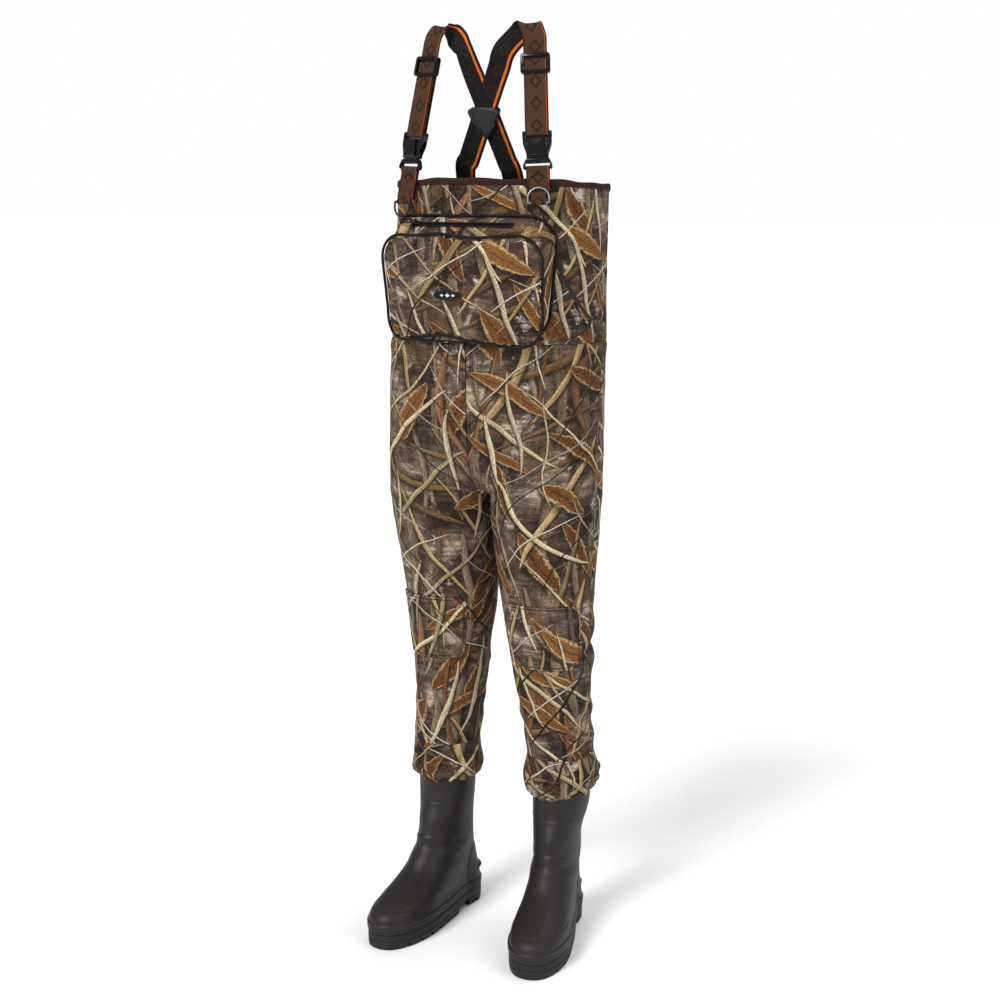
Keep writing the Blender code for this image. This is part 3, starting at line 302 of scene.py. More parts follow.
def cloth_material(name, dark, light, scale=(900, 900, 900), roughness=0.85):
    """A plain woven or knitted cloth with a mottled colour."""
    p = Paint(name)
    place = p.place()
    weave = p.noise(p.stretch(place, scale), 1.0, 2.0, 0.6)
    wear = p.noise(place, 14.0, 4.0, 0.6)
    share = p.blend(weave, 0.7, p.times(wear, 0.5), clamp=True)
    return p.finish(p.mix(share, dark, light), roughness, weave, 0.0003, Specular_IOR_Level=0.2)


def webbing_material(name, dark, light, edge, stripe, stripe_place, motif, motif_share):
    """Woven elastic: u is measured across it from its middle and v along it."""
    p = Paint(name)
    u, v, _ = p.parts(p.uv())
    across = p.sum("SINE", p.times(u, 2 * math.pi / 0.0016))
    along = p.sum("SINE", p.times(v, 2 * math.pi / 0.0013))
    rib = p.blend(p.times(across, along), 0.5, 0.5)
    fuzz = p.noise(p.stretch(p.place(), (600, 600, 600)), 1.0, 3.0, 0.7)
    wear = p.noise(p.stretch(p.place(), (25, 25, 25)), 1.0, 3.0, 0.6)
    share = p.blend(rib, 0.35, p.times(p.add(fuzz, wear), 0.42), clamp=True)
    colour = p.mix(share, dark, light)
    # A tone-on-tone row of lozenges down the middle.
    cell = p.sum("PINGPONG", v, 0.019)
    lozenge = p.add(p.over(p.sum("ABSOLUTE", u), 0.0105), p.over(cell, 0.012))
    ring = p.sum("LESS_THAN", p.sum("ABSOLUTE", p.less(lozenge, 0.82)), 0.20)
    colour = p.mix(p.times(ring, motif_share), colour, motif)
    side = p.sum("GREATER_THAN", p.sum("ABSOLUTE", u), 0.0178)
    colour = p.mix(p.times(side, 0.85), colour, edge)
    middle, half = stripe_place
    line = p.sum("LESS_THAN", p.sum("ABSOLUTE", p.less(u, middle)), half)
    bright = p.mix(share, tuple(0.6 * c for c in stripe), stripe)
    colour = p.mix(line, colour, bright)
    return p.finish(colour, p.blend(fuzz, 0.15, 0.75), rib, 0.00025, Specular_IOR_Level=0.2)


def rubber_material(name, dark, light, roughness, grain=350):
    p = Paint(name)
    place = p.place()
    fine = p.noise(place, grain, 3.0, 0.6)
    broad = p.noise(p.stretch(place, (9, 9, 5)), 1.0, 4.0, 0.6, 0.4)
    scuffs = p.ramp(p.noise(p.stretch(place, (60, 60, 25)), 1.0, 5.0, 0.7), (0.56, 0.0), (0.72, 0.35))
    colour = p.mix(broad, dark, light)
    colour = p.mix(scuffs, colour, tuple(1.9 * c for c in light))
    rough = p.blend(broad, 0.22, p.blend(scuffs, 0.2, roughness - 0.1))
    return p.finish(colour, rough, p.blend(broad, 1.2, p.times(fine, 0.25)), 0.0004,
                    Specular_IOR_Level=0.38)


def plastic_material(name, dark, light, roughness):
    p = Paint(name)
    place = p.place()
    fine = p.noise(place, 900, 2.0)
    scratch = p.noise(p.stretch(place, (90, 400, 90)), 1.0, 4.0, 0.6)
    rough = p.blend(scratch, 0.12, roughness - 0.05)
    return p.finish(p.mix(scratch, dark, light), rough, fine, 0.00003, Specular_IOR_Level=0.34)


def metal_material(name, dark, light, roughness):
    p = Paint(name)
    place = p.place()
    brushed = p.noise(p.stretch(place, (300, 300, 40)), 1.0, 4.0, 0.7)
    rough = p.blend(brushed, 0.22, roughness - 0.1)
    return p.finish(p.mix(brushed, dark, light), rough, brushed, 0.00008, metallic=1.0)


def floor_material():
    p = Paint("floor")
    tone = p.noise(p.place(), 2.0, 3.0)
    return p.finish(p.mix(tone, (0.93, 0.93, 0.93), (0.96, 0.96, 0.96)), 0.9)


CAMO = camo_material()
LINING = cloth_material("lining", (0.010, 0.008, 0.007), (0.045, 0.038, 0.033), (1200, 1200, 700))
TAPE = cloth_material("hem_tape", (0.007, 0.0024, 0.0016), (0.040, 0.0115, 0.0070), (700, 700, 300))
PIPING_CLOTH = cloth_material("piping_cloth", (0.0015, 0.0015, 0.0015), (0.008, 0.0075, 0.0075), (1100, 1100, 1100),
                              roughness=0.7)
GREY_TAPE = cloth_material("grey_tape", (0.008, 0.007, 0.006), (0.034, 0.029, 0.025), (900, 900, 900))
THREAD = cloth_material("thread", (0.020, 0.012, 0.008), (0.070, 0.045, 0.030), (2500, 2500, 2500))
BLACK_THREAD = cloth_material("black_thread", (0.004, 0.004, 0.004), (0.022, 0.020, 0.020), (2500, 2500, 2500))
STRAP_FACE = webbing_material("strap_face", (0.022, 0.009, 0.0035), (0.082, 0.035, 0.0145), (0.006, 0.003, 0.002),
                              (0.50, 0.070, 0.006), (0.0172, 0.0006), (0.006, 0.003, 0.002), 0.75)
STRAP_BACK = webbing_material("strap_back", (0.0025, 0.0022, 0.002), (0.012, 0.010, 0.009), (0.004, 0.003, 0.003),
                              (0.78, 0.170, 0.010), (0.0130, 0.0022), (0.034, 0.015, 0.006), 0.60)
RUBBER = rubber_material("boot_rubber", (0.0045, 0.0033, 0.0027), (0.0125, 0.0092, 0.0076), 0.52)
SOLE_RUBBER = rubber_material("sole_rubber", (0.0028, 0.0022, 0.0019), (0.0090, 0.0072, 0.0062), 0.60, 500)
PLASTIC = plastic_material("black_plastic", (0.0012, 0.0012, 0.0013), (0.0034, 0.0034, 0.0038), 0.20)
JOINER_PLASTIC = plastic_material("joiner_plastic", (0.010, 0.0105, 0.012), (0.022, 0.023, 0.026), 0.45)
BADGE_PLASTIC = plastic_material("badge_plastic", (0.003, 0.003, 0.003), (0.010, 0.010, 0.011), 0.22)
MOTIF_PLASTIC = plastic_material("badge_motif", (0.45, 0.45, 0.45), (0.75, 0.75, 0.74), 0.40)
STEEL = metal_material("steel", (0.13, 0.14, 0.155), (0.36, 0.38, 0.41), 0.34)
DARK_STEEL = metal_material("dark_steel", (0.014, 0.0145, 0.016), (0.055, 0.057, 0.060), 0.36)

floor = bpy.data.objects.new("floor", bpy.data.meshes.new("floor"))
FLOOR_HALF, FLOOR_Z = 60, -0.0005
floor_corners = [(FLOOR_HALF * x, FLOOR_HALF * y, FLOOR_Z) for x, y in ((-1, -1), (1, -1), (1, 1), (-1, 1))]
floor.data.from_pydata(floor_corners, [], [(0, 1, 2, 3)])
floor.data.materials.append(floor_material())
bpy.context.scene.collection.objects.link(floor)

# ---------------------------------------------------------------- mesh helpers


def file_away(obj, body, nodes):
    """Puts a finished piece on its CAD body in place of the CAD nodes it stands for."""
    bpy.context.view_layer.update()
    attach(obj, body)
    if nodes:
        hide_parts(*nodes)
    return obj


def weld(mesh, distance=0.000005):
    edit = bmesh.new()
    edit.from_mesh(mesh)
    bmesh.ops.remove_doubles(edit, verts=edit.verts, dist=distance)
    bmesh.ops.recalc_face_normals(edit, faces=edit.faces)
    edit.to_mesh(mesh)
    edit.free()


def solid(name, points, faces, materials, indices=None, uv=None, crease=50):
    """A mesh object from points about the hips' middle, with its print's flat place per point in uv."""
    mesh = bpy.data.meshes.new(name)
    points = np.asarray(points, float).reshape(-1, 3) + (0, BACK, 0)
    mesh.from_pydata(points.tolist(), [], [tuple(f) for f in faces])
    for material in materials:
        mesh.materials.append(material)
    if indices is not None:
        mesh.polygons.foreach_set("material_index", np.asarray(indices, np.int32))
    if uv is not None:
        layer = mesh.uv_layers.new(name="print")
        corner = np.empty(len(mesh.loops), np.int32)
        mesh.loops.foreach_get("vertex_index", corner)
        layer.data.foreach_set("uv", np.asarray(uv, np.float32).reshape(-1, 2)[corner].ravel())
    weld(mesh)
    mesh.shade_smooth()
    mesh.set_sharp_from_angle(angle=math.radians(crease))
    obj = bpy.data.objects.new(name, mesh)
    bpy.context.scene.collection.objects.link(obj)
    return obj


def grid_faces(rows, columns, closed=False):
    j, i = np.meshgrid(np.arange(rows - 1), np.arange(columns if closed else columns - 1), indexing="ij")
    a, b = j * columns + i, j * columns + (i + 1) % columns
    return np.stack([a, b, b + columns, a + columns], -1).reshape(-1, 4)


def ring_faces(rings, around, closed=False):
    """Faces of a tube of rings whose ends meet each other or, if not, are capped."""
    faces, last = grid_faces(rings, around, True).tolist(), (rings - 1) * around
    if closed:
        return faces + [(last + i, last + (i + 1) % around, (i + 1) % around, i) for i in range(around)]
    return faces + [tuple(range(around)), tuple(range(last, last + around))]


def shell(name, outer, inner, materials, uv, closed=False, indices=None):
    """A wall between two like grids of points: the first material outside, the second inside, the third on rims."""
    rows, columns = outer.shape[:2]
    size = rows * columns
    out = grid_faces(rows, columns, closed)
    back = out[:, ::-1] + size
    place = np.arange(size).reshape(rows, columns)
    borders = [place[0].tolist(), place[-1].tolist()]
    if not closed:
        borders = [np.concatenate([place[0], place[1:, -1], place[-1, -2::-1], place[-2:0:-1, 0]]).tolist()]
    rims = [(a, b, size + b, size + a) for border in borders for a, b in zip(border, border[1:] + border[:1])]
    faces = out.tolist() + back.tolist() + rims
    shown = np.zeros(len(out), int) if indices is None else np.asarray(indices).ravel()
    index = np.concatenate([shown, np.full(len(back), 1), np.full(len(rims), min(2, len(materials) - 1))])
    points = np.concatenate([outer.reshape(-1, 3), inner.reshape(-1, 3)])
    flat = np.asarray(uv).reshape(-1, 2)
    return solid(name, points, faces, materials, index, np.concatenate([flat, flat]))


SIDES = ((1, "left"), (-1, "right"))


def mirrored(points, side):
    return points * np.array([side, 1, 1])


def wall(name, side, outer, inner, materials, uv, closed=False, indices=None):
    """A shell on the waders, whose columns run the other way round on the right side to face outwards."""
    turned = slice(None, None, side)
    obj = shell(name, outer[:, turned], inner[:, turned], materials, uv[:, turned], closed, indices)
    return file_away(obj, "waders", [name])


def run_length(points, axis=0):
    """How far each point of a row or grid is from its first one, measured along the row or that axis."""
    steps = np.linalg.norm(np.diff(points, axis=axis), axis=-1)
    return np.insert(np.cumsum(steps, axis), 0, 0, axis)


def print_place(points, middle, shift):
    """Where each point of a grid lies on the flat cloth, in metres."""
    across = run_length(points, 1)
    across = across - across[:, middle:middle + 1]
    return np.stack([across + shift[0], points[..., 2] + shift[1]], -1)


def unit(vectors):
    """Each row scaled to length 1."""
    return vectors / np.maximum(np.linalg.norm(vectors, axis=-1), 1e-9)[..., None]


def circles(ahead, side, around):
    """Unit circles square to each direction ahead that start towards side."""
    side, turn = unit(side), np.linspace(0, 2 * math.pi, around, endpoint=False)
    up = np.cross(side, ahead)
    return side[:, None] * np.cos(turn)[:, None] + up[:, None] * np.sin(turn)[:, None]


def tube(name, path, radius, material, around=14):
    """A closed round cord along a path of points."""
    ahead = unit(np.roll(path, -1, 0) - np.roll(path, 1, 0))
    side = np.cross(ahead, (0, 1, 0))
    side[np.linalg.norm(side, axis=1) < 0.2] = (1, 0, 0)
    points = path[:, None] + radius * circles(ahead, side, around)
    return solid(name, points, ring_faces(len(path), around, True), [material])


def sew(name, path, material, pitch=0.0036, length=0.0026, radius=0.00042):
    """A row of thread stitches along a path, each a small capsule half sunk in the cloth."""
    path = np.asarray(path, float)
    place = run_length(path)
    count = max(1, int(place[-1] / pitch))
    starts = (np.arange(count) + 0.2) * place[-1] / count
    a, b = (np.stack([np.interp(starts + shift, place, path[:, k]) for k in range(3)], -1) for shift in (0, length))
    ahead = unit(b - a)
    circle = circles(ahead, np.cross(ahead, (0.31, 0.87, 0.38)), 6)
    rings = [(a + (b - a) * share)[:, None] + circle * radius * size
             for share, size in ((0, 0.35), (0.18, 0.95), (0.82, 0.95), (1, 0.35))]
    faces = [[24 * stitch + i for i in face] for stitch in range(count) for face in ring_faces(4, 6)]
    file_away(solid(name, np.stack(rings, 1), faces, [material], crease=80), "waders", [])


def ribbon(name, middles, across, width, thickness, materials, face=1, closed=False):
    """Webbing with rounded edges. face is the side, +1 or -1, that wears the first material."""
    ahead = np.roll(middles, -1, 0) - np.roll(middles, 1, 0)
    if not closed:
        ahead[0], ahead[-1] = middles[1] - middles[0], middles[-1] - middles[-2]
    ahead = unit(ahead)
    across = unit(across - ahead * (across * ahead).sum(1)[:, None])
    up = np.cross(ahead, across)
    share = np.array([-1, -0.985, -0.95, -0.7, -0.35, 0, 0.35, 0.7, 0.95, 0.985, 1])
    lift = np.array([0.35, 0.75, 0.97, 1, 1, 1, 1, 1, 0.97, 0.75, 0.35])
    u = np.concatenate([share, share[::-1]]) * width / 2
    t = np.concatenate([lift, -lift[::-1]]) * thickness / 2
    points = middles[:, None] + across[:, None] * u[:, None] + up[:, None] * t[:, None]
    count, around = len(middles), len(u)
    uv = np.stack(np.broadcast_arrays(u[None], run_length(middles)[:, None]), -1)
    top = np.array([1] * 10 + [0] + [-1] * 10 + [0])
    index = np.tile(np.where(top == -face, 1, 0), count - 1).tolist()
    index += index[:around] if closed else [1, 1]
    return solid(name, points, ring_faces(count, around, closed), materials, index, uv)


def curve(points, count, closed=False):
    """A smooth curve of count points through the given ones, which may have any number of coordinates."""
    p = np.asarray(points, float)
    spans = len(p) if closed else len(p) - 1
    s = np.linspace(0, spans, count, endpoint=not closed)
    i = np.minimum(s.astype(int), spans - 1)
    t = (s - i)[:, None]
    if closed:
        a, b, c, d = (p[(i + k) % len(p)] for k in (-1, 0, 1, 2))
    else:
        a, b, c, d = (p[np.clip(i + k, 0, len(p) - 1)] for k in (-1, 0, 1, 2))
    return 0.5 * (2 * b + (c - a) * t + (2 * a - 5 * b + 4 * c - d) * t**2 + (3 * b - a - 3 * c + d) * t**3)


def smooth_step(t):
    t = np.clip(t, 0, 1)
    return t * t * (3 - 2 * t)


def bump(distance, width):
    return np.exp(-(distance / width) ** 2)


def noise(points, scale, seed=0.0):
    """Smooth noise from -1 to 1 at each point."""
    scaled = np.asarray(points).reshape(-1, 3) * scale + (seed, 2.3 * seed, 0.7 * seed)
    values = [gradient_noise(p) for p in scaled.tolist()]
    return np.array(values).reshape(np.asarray(points).shape[:-1])


# ---------------------------------------------------------------- the CAD's sections

HEM_Z, SIDE_DROP, BACK_DROP, WAIST_Z = 1.401, 0.010, 0.050, 1.122
CROTCH_Z, LEG_END_Z, CUFF_END_Z = 0.840, 0.350, 0.275
NEOPRENE, GAP, ROUNDNESS = 0.005, 0.0003, 2.35
TORSO = [(0.700, -0.018, 0.1960, 0.125, 0.110), (0.859, -0.020, 0.1990, 0.124, 0.116),
         (1.007, -0.012, 0.2000, 0.136, 0.116), (1.107, 0.000, 0.1985, 0.148, 0.100),
         (1.277, 0.020, 0.1955, 0.162, 0.058), (1.401, 0.034, 0.1935, 0.168, 0.028)]
LEG = [(0.275, 0.1190, 0.018, 0.0600, 0.0660), (0.350, 0.1175, 0.017, 0.0620, 0.0680),
       (0.440, 0.1085, 0.014, 0.0660, 0.0720), (0.540, 0.1010, 0.006, 0.0740, 0.0800),
       (0.631, 0.0970, -0.001, 0.0830, 0.0890), (0.740, 0.0975, -0.010, 0.0935, 0.1040),
       (0.840, 0.1000, -0.018, 0.0997, 0.1160), (1.150, 0.1000, -0.010, 0.0997, 0.1180)]
CUFF = [(0.275, 0.0600, 0.0680), (0.288, 0.0660, 0.0715), (0.307, 0.0685, 0.0730), (0.330, 0.0655, 0.0705),
        (0.350, 0.0620, 0.0680)]
BOOT = [(0.028, 0.226, 0.082, 0.0500, 0.00), (0.045, 0.228, 0.083, 0.0520, 0.00), (0.062, 0.221, 0.081, 0.0500, 0.05),
        (0.076, 0.195, 0.078, 0.0475, 0.15), (0.088, 0.165, 0.075, 0.0455, 0.30), (0.104, 0.131, 0.071, 0.0445, 0.50),
        (0.124, 0.105, 0.067, 0.0435, 0.75), (0.150, 0.085, 0.064, 0.0430, 1.00), (0.200, 0.069, 0.063, 0.0440, 1.00),
        (0.357, 0.061, 0.061, 0.0515, 1.00)]
SOLE_SIDE = [(0.50, 0.955), (0.86, 0.80), (1.0, 0.56), (0.86, 0.22), (0.68, -0.1), (0.70, -0.62), (0.42, -0.94)]
SOLE_OUTLINE = [(0.0, 1.0), *SOLE_SIDE, (0.0, -1.0), *((-x, y) for x, y in SOLE_SIDE[::-1])]
TOE_OUT = math.radians(9)
BOOT_X, BOOT_Y = 0.1155, 0.007
SOLE_TOP_Z = 0.028


def between(rows, height):
    """A table's columns at those heights, on a smooth curve through its rows."""
    table = np.array(rows, float)
    heights, values = table[:, 0], table[:, 1:]
    slopes = np.gradient(values, heights, axis=0)
    height = np.clip(np.asarray(height, float), heights[0], heights[-1])
    i = np.clip(np.searchsorted(heights, height) - 1, 0, len(heights) - 2)
    span = (heights[i + 1] - heights[i])[..., None]
    t = (height - heights[i])[..., None] / span
    start = (1 + 2 * t) * (1 - t) ** 2 * values[i] + t * (1 - t) ** 2 * span * slopes[i]
    end = t * t * (3 - 2 * t) * values[i + 1] + t * t * (t - 1) * span * slopes[i + 1]
    return np.moveaxis(start + end, -1, 0)


def rounded(angle, half_x, half_y, roundness=2.0):
    """A superellipse. Angle 0 is +X and -90 degrees is the front."""
    c, s = np.cos(angle), np.sin(angle)
    power = 2 / roundness
    return np.sign(c) * np.abs(c) ** power * half_x, np.sign(s) * np.abs(s) ** power * half_y


def stack(x, y, z):
    return np.stack(np.broadcast_arrays(x, y, z), -1)


def torso(angle, z):
    y, half_x, front, back = between(TORSO, z)
    px, py = rounded(angle, half_x, np.where(np.sin(angle) < 0, front, back), ROUNDNESS)
    return stack(px, y + py, z)


def hem_height(angle):
    back = np.sin(angle)
    return HEM_Z - SIDE_DROP * (1 + back) - (BACK_DROP - 2 * SIDE_DROP) * np.maximum(0.0, back) ** 2


def bib(angle, share):
    return torso(angle, WAIST_Z + share * (hem_height(angle) - WAIST_Z))


def chest_y(x, z):
    """How far forward the bib's front is."""
    y, half_x, front, _ = between(TORSO, z)
    return y - front * np.maximum(0, 1 - np.abs(x / half_x) ** ROUNDNESS) ** (1 / ROUNDNESS)


def leg_oval(angle, z):
    x, y, half_x, half_y = between(LEG, z)
    px, py = rounded(angle, half_x, half_y)
    return stack(x + px, y + py, z)


def leg(u, z):
    """The left half below the waist. u runs from the centre front, 0, round the outside to the centre back, 1."""
    body = smooth_step((1.000 - z) / 0.220)
    turn = np.clip((0.930 - z) / (0.930 - CROTCH_Z), 0, 1)
    seam = 1 - np.sqrt(1 - turn * turn)
    rim = np.abs(2 * u - 1) ** 6
    share = ((1 - rim) * body + rim * seam)[..., None]
    return torso(math.pi * (u - 0.5), z) * (1 - share) + leg_oval(2 * math.pi * (u - 0.5), z) * share


def cuff(angle, z):
    x, y = between(LEG, z)[:2]
    half_x, half_y = between(CUFF, z)
    px, py = rounded(angle, half_x, half_y)
    return stack(x + px, y + py, z)


OUTLINE_STEPS = 2048
OUTLINE = curve(SOLE_OUTLINE, OUTLINE_STEPS, closed=True)


def sole_point(share):
    places = np.arange(OUTLINE_STEPS)
    return [np.interp(share * OUTLINE_STEPS, places, OUTLINE[:, k], period=OUTLINE_STEPS) for k in (0, 1)]


def boot(share, z, grow=0.0):
    """A boot about its shaft's middle, with its toe to -Y."""
    front, back, half, shaft = between(BOOT, z)
    x, y = sole_point(share)
    foot = stack(x * (half + grow), -y * (np.where(y > 0, front, back) + grow), z)
    angle = 2 * math.pi * (share - 0.25)
    px, py = rounded(angle, half + grow, np.where(np.sin(angle) < 0, front, back) + grow)
    return foot + (stack(px, py, z) - foot) * shaft[..., None]


def stand(points, side):
    """A left boot's points moved from its own frame to the wearer, and mirrored for the right one."""
    c, s = math.cos(TOE_OUT), math.sin(TOE_OUT)
    x, y, z = np.moveaxis(np.asarray(points, float), -1, 0)
    return mirrored(stack(BOOT_X + c * x - s * y, BOOT_Y + s * x + c * y, z), side)


def normals(surface, u, v, dv=0.002):
    """Unit normals that point away from the body."""
    a = surface(u + 0.002, v) - surface(u - 0.002, v)
    b = surface(u, v + dv) - surface(u, v - dv)
    return unit(np.cross(a, b))


# ---------------------------------------------------------------- neoprene


def relief(points):
    """How far the worn neoprene stands out of its smooth shape at each point, in metres."""
    x, y, z = np.moveaxis(points, -1, 0)
    broad = 0.0022 * noise(points, (6, 6, 3.5), 1.0)
    long_folds = 0.0018 * noise(points, (17, 14, 4), 5.0)
    ridges = (1 - np.abs(noise(points, (6, 6, 15), 9.0))) ** 3
    crumple = 0.0030 * (ridges - 0.45)
    fine = 0.0007 * noise(points, (34, 34, 24), 3.0)
    waist = bump(z - 1.118, 0.035)
    knee = bump(z - 0.555, 0.060) * smooth_step((y + 0.02) / 0.05)
    crotch = bump(z - 0.850, 0.070) * bump(np.abs(x), 0.10)
    ankle = smooth_step((0.45 - z) / 0.08)
    amount = np.clip(0.35 + 0.9 * waist + 1.6 * knee + 1.4 * crotch + 0.7 * ankle, 0, 2.2)
    calm = 1 - 0.80 * smooth_step((z - 1.27) / 0.08)  # taut below the hem
    left, outside = x > 0, smooth_step((0.7 * (np.abs(x) - 0.10) + y + 0.01) / 0.05)
    tuck = -0.0075 * bump(z - 0.548 - 0.35 * y, 0.011) + 0.0045 * bump(z - 0.585 - 0.35 * y, 0.020)
    tuck = tuck + 0.0035 * bump(z - 0.515 - 0.30 * y, 0.018)
    slack = np.sin((z + 0.30 * y + 0.20 * x) * 2 * math.pi / 0.047) * bump(z - 0.425, 0.040)
    folds = outside * tuck * np.where(left, 1.0, 0.35) + 0.0022 * slack * np.where(left, 1.0, 0.4)
    return (broad + long_folds + fine + amount * crumple) * calm + folds


def layers(base, normal, lift, thickness, side=1):
    """The outer and inner faces of a layer that stands lift out of a surface."""
    return [mirrored(base + normal * out[..., None], side) for out in (lift, lift - thickness)]


# How deep the seams at u's start and end and at v's start and end are.
BIB_SEAMS, LEG_SEAMS = (0.0016, 0.0016, 0.0016, 0.0), (0.0016, 0.0016, 0.0005, 0.0016)


def seam_dip(distance, depth, width=0.0026):
    """Panels turn in at a glued seam."""
    return -depth * bump(distance, width)


def panel(name, surface, us, vs, shift, side, edges, half=False):
    """One panel of the body: a grid of u along and v up. half keeps it on its own side of the plane of symmetry."""
    u, v = np.meshgrid(us, vs)
    base = surface(u, v)
    normal = normals(surface, np.clip(u, us[0] + 0.002, us[-1] - 0.002), np.clip(v, vs[0] + 0.002, vs[-1] - 0.002))
    across, up = run_length(base, 1), run_length(base)
    distances = (across, across[:, -1:] - across, up, up[-1:] - up)
    lift = relief(mirrored(base, side))
    for depth, distance in zip(edges, distances):
        lift = lift + seam_dip(distance, depth)
    outer, inner = layers(base, normal, lift, NEOPRENE)
    if half:
        for face in (outer, inner):
            face[..., 0] = np.maximum(face[..., 0], GAP / 2)
    outer, inner = mirrored(outer, side), mirrored(inner, side)
    uv = print_place(outer, len(us) // 2, shift)
    wall(name, side, outer, inner, [CAMO, LINING, LINING], uv)


def build_bib():
    angles = np.linspace(-math.pi + 0.0008, -0.0008, 181)
    shares = np.linspace(0.0012, 1, 91)
    panel("bib_front_panel", bib, angles, shares, (0.02, 0.0), 1, BIB_SEAMS)
    panel("bib_back_panel", bib, angles + math.pi, shares, (2.6, 0.3), 1, BIB_SEAMS)
    around = np.linspace(-math.pi, math.pi, 360, endpoint=False)
    rows, top = [], hem_height(around)
    for out, rise in ((0.0014, -0.0080), (0.0020, -0.0055), (0.0021, -0.0030), (0.0016, 0.0008),
                      (-0.0002, 0.0022), (-0.0026, 0.0025), (-0.0048, 0.0020), (-0.0064, 0.0003),
                      (-0.0071, -0.0040), (-0.0070, -0.0125)):
        base = torso(around, top + min(rise, 0))
        normal = normals(torso, around, top)
        normal[:, 2] = 0
        pucker = 0.00045 * np.sin(around * 97 + 2 * np.sin(around * 11)) * (abs(rise) > 0.002)
        wave = 0.0011 * np.sin(around * 7 + 1) + 0.0008 * np.sin(around * 16)
        point = base + normal * (relief(base) + out + pucker)[:, None]
        point[:, 2] += max(rise, 0) + wave * (rise > -0.004)
        rows.append(point)
    points = np.array(rows)
    closing = np.array([points[0] - (points[0] - points[-1]) * 0.2, points[-1] + (points[0] - points[-1]) * 0.2])
    points = np.concatenate([points, closing[::-1], points[:1]])
    uv = print_place(points, 0, (0, 0))
    tape = solid("hem_binding", points, grid_faces(len(points), 360, True).tolist(), [TAPE], None, uv)
    file_away(tape, "waders", ["hem_binding"])
    ring = np.concatenate([around, around[:1]])
    base = torso(ring, hem_height(ring) - 0.0062)
    path = base + normals(torso, ring, hem_height(ring)) * (relief(base) + 0.0021)[:, None]
    sew("hem_stitches", path, THREAD)


def build_legs():
    us = np.linspace(0.0005, 0.4995, 97)
    heights = np.concatenate([np.linspace(LEG_END_Z + GAP, 0.8390, 210), np.linspace(0.8415, WAIST_Z - GAP, 100)])
    for side, name in SIDES:
        x, z = (0.35, 0.02) if side > 0 else (0.72, 0.055)
        panel(f"{name}_leg_front_panel", leg, us, heights, (x, z), side, LEG_SEAMS, half=True)
        panel(f"{name}_leg_back_panel", leg, us + 0.5, heights, (x + 1.7, z), side, LEG_SEAMS, half=True)
        build_cuff(name, side)
        build_knee_patch(name, side)


def build_cuff(name, side):
    """The leg's end, drawn in over the boot in gathers and rolled under."""
    around = np.linspace(-math.pi, math.pi, 240, endpoint=False)
    share = np.linspace(0, 1, 60)
    angle, t = np.meshgrid(around, share)
    z = CUFF_END_Z + t * (LEG_END_Z - GAP - CUFF_END_Z)
    base = cuff(angle, z)
    slant = 0.9 if side > 0 else 0.25
    phase = angle + slant * (z - 0.31) / 0.075
    depth = 0.0034 * (1 - t) ** 0.6 * smooth_step((1 - t) / 0.25)
    gathers = np.sin(13 * phase + 1.3 * np.sin(3 * phase)) + 0.5 * np.sin(22 * phase + 2 * np.sin(2 * phase))
    puff = 0.0020 * np.sin(math.pi * t) * (1.2 if side > 0 else -1.2)
    roll = -0.0035 * smooth_step((0.12 - t) / 0.12)
    lift = relief(mirrored(base, side)) + depth * gathers * 0.62 + puff * np.sin(math.pi * t) + roll
    lift = lift + seam_dip(LEG_END_Z - z, 0.0006, 0.0025)
    normal = normals(cuff, angle, np.clip(z, CUFF_END_Z + 0.002, LEG_END_Z - 0.002))
    outer, inner = layers(base, normal, lift, NEOPRENE, side)
    tilt = 0.006 * np.sin(angle + 0.6) if side > 0 else 0.002 * np.sin(angle)
    for face in (outer, inner):
        face[..., 2] += (tilt + 0.0015 * np.sin(5 * angle)) * (1 - t)
    uv = print_place(outer, 120, (0.2 if side > 0 else 0.55, 0.5))
    wall(f"{name}_cuff", side, outer, inner, [CAMO, LINING, LINING], uv, closed=True)


KNEE_HALF_X, KNEE_HALF_Z, KNEE_CORNER, KNEE_Z = 0.075, 0.061, 0.020, 0.589
KNEE_U, KNEE_HALF_U = 0.2811, 0.1559  # where its middle is round the leg, and how far it reaches from there


def knee_place(a, b, inset=0.0):
    """A knee patch's point, for a and b from -1 to 1, as the leg's u and height. Its corners are rounded."""
    half_z = KNEE_HALF_Z - inset
    over = np.clip((np.abs(b * half_z) - (half_z - KNEE_CORNER)) / KNEE_CORNER, 0, 1)
    reach = KNEE_HALF_X - inset - KNEE_CORNER * (1 - np.sqrt(1 - over**2))
    return KNEE_U + a * reach * KNEE_HALF_U / KNEE_HALF_X, KNEE_Z + b * half_z


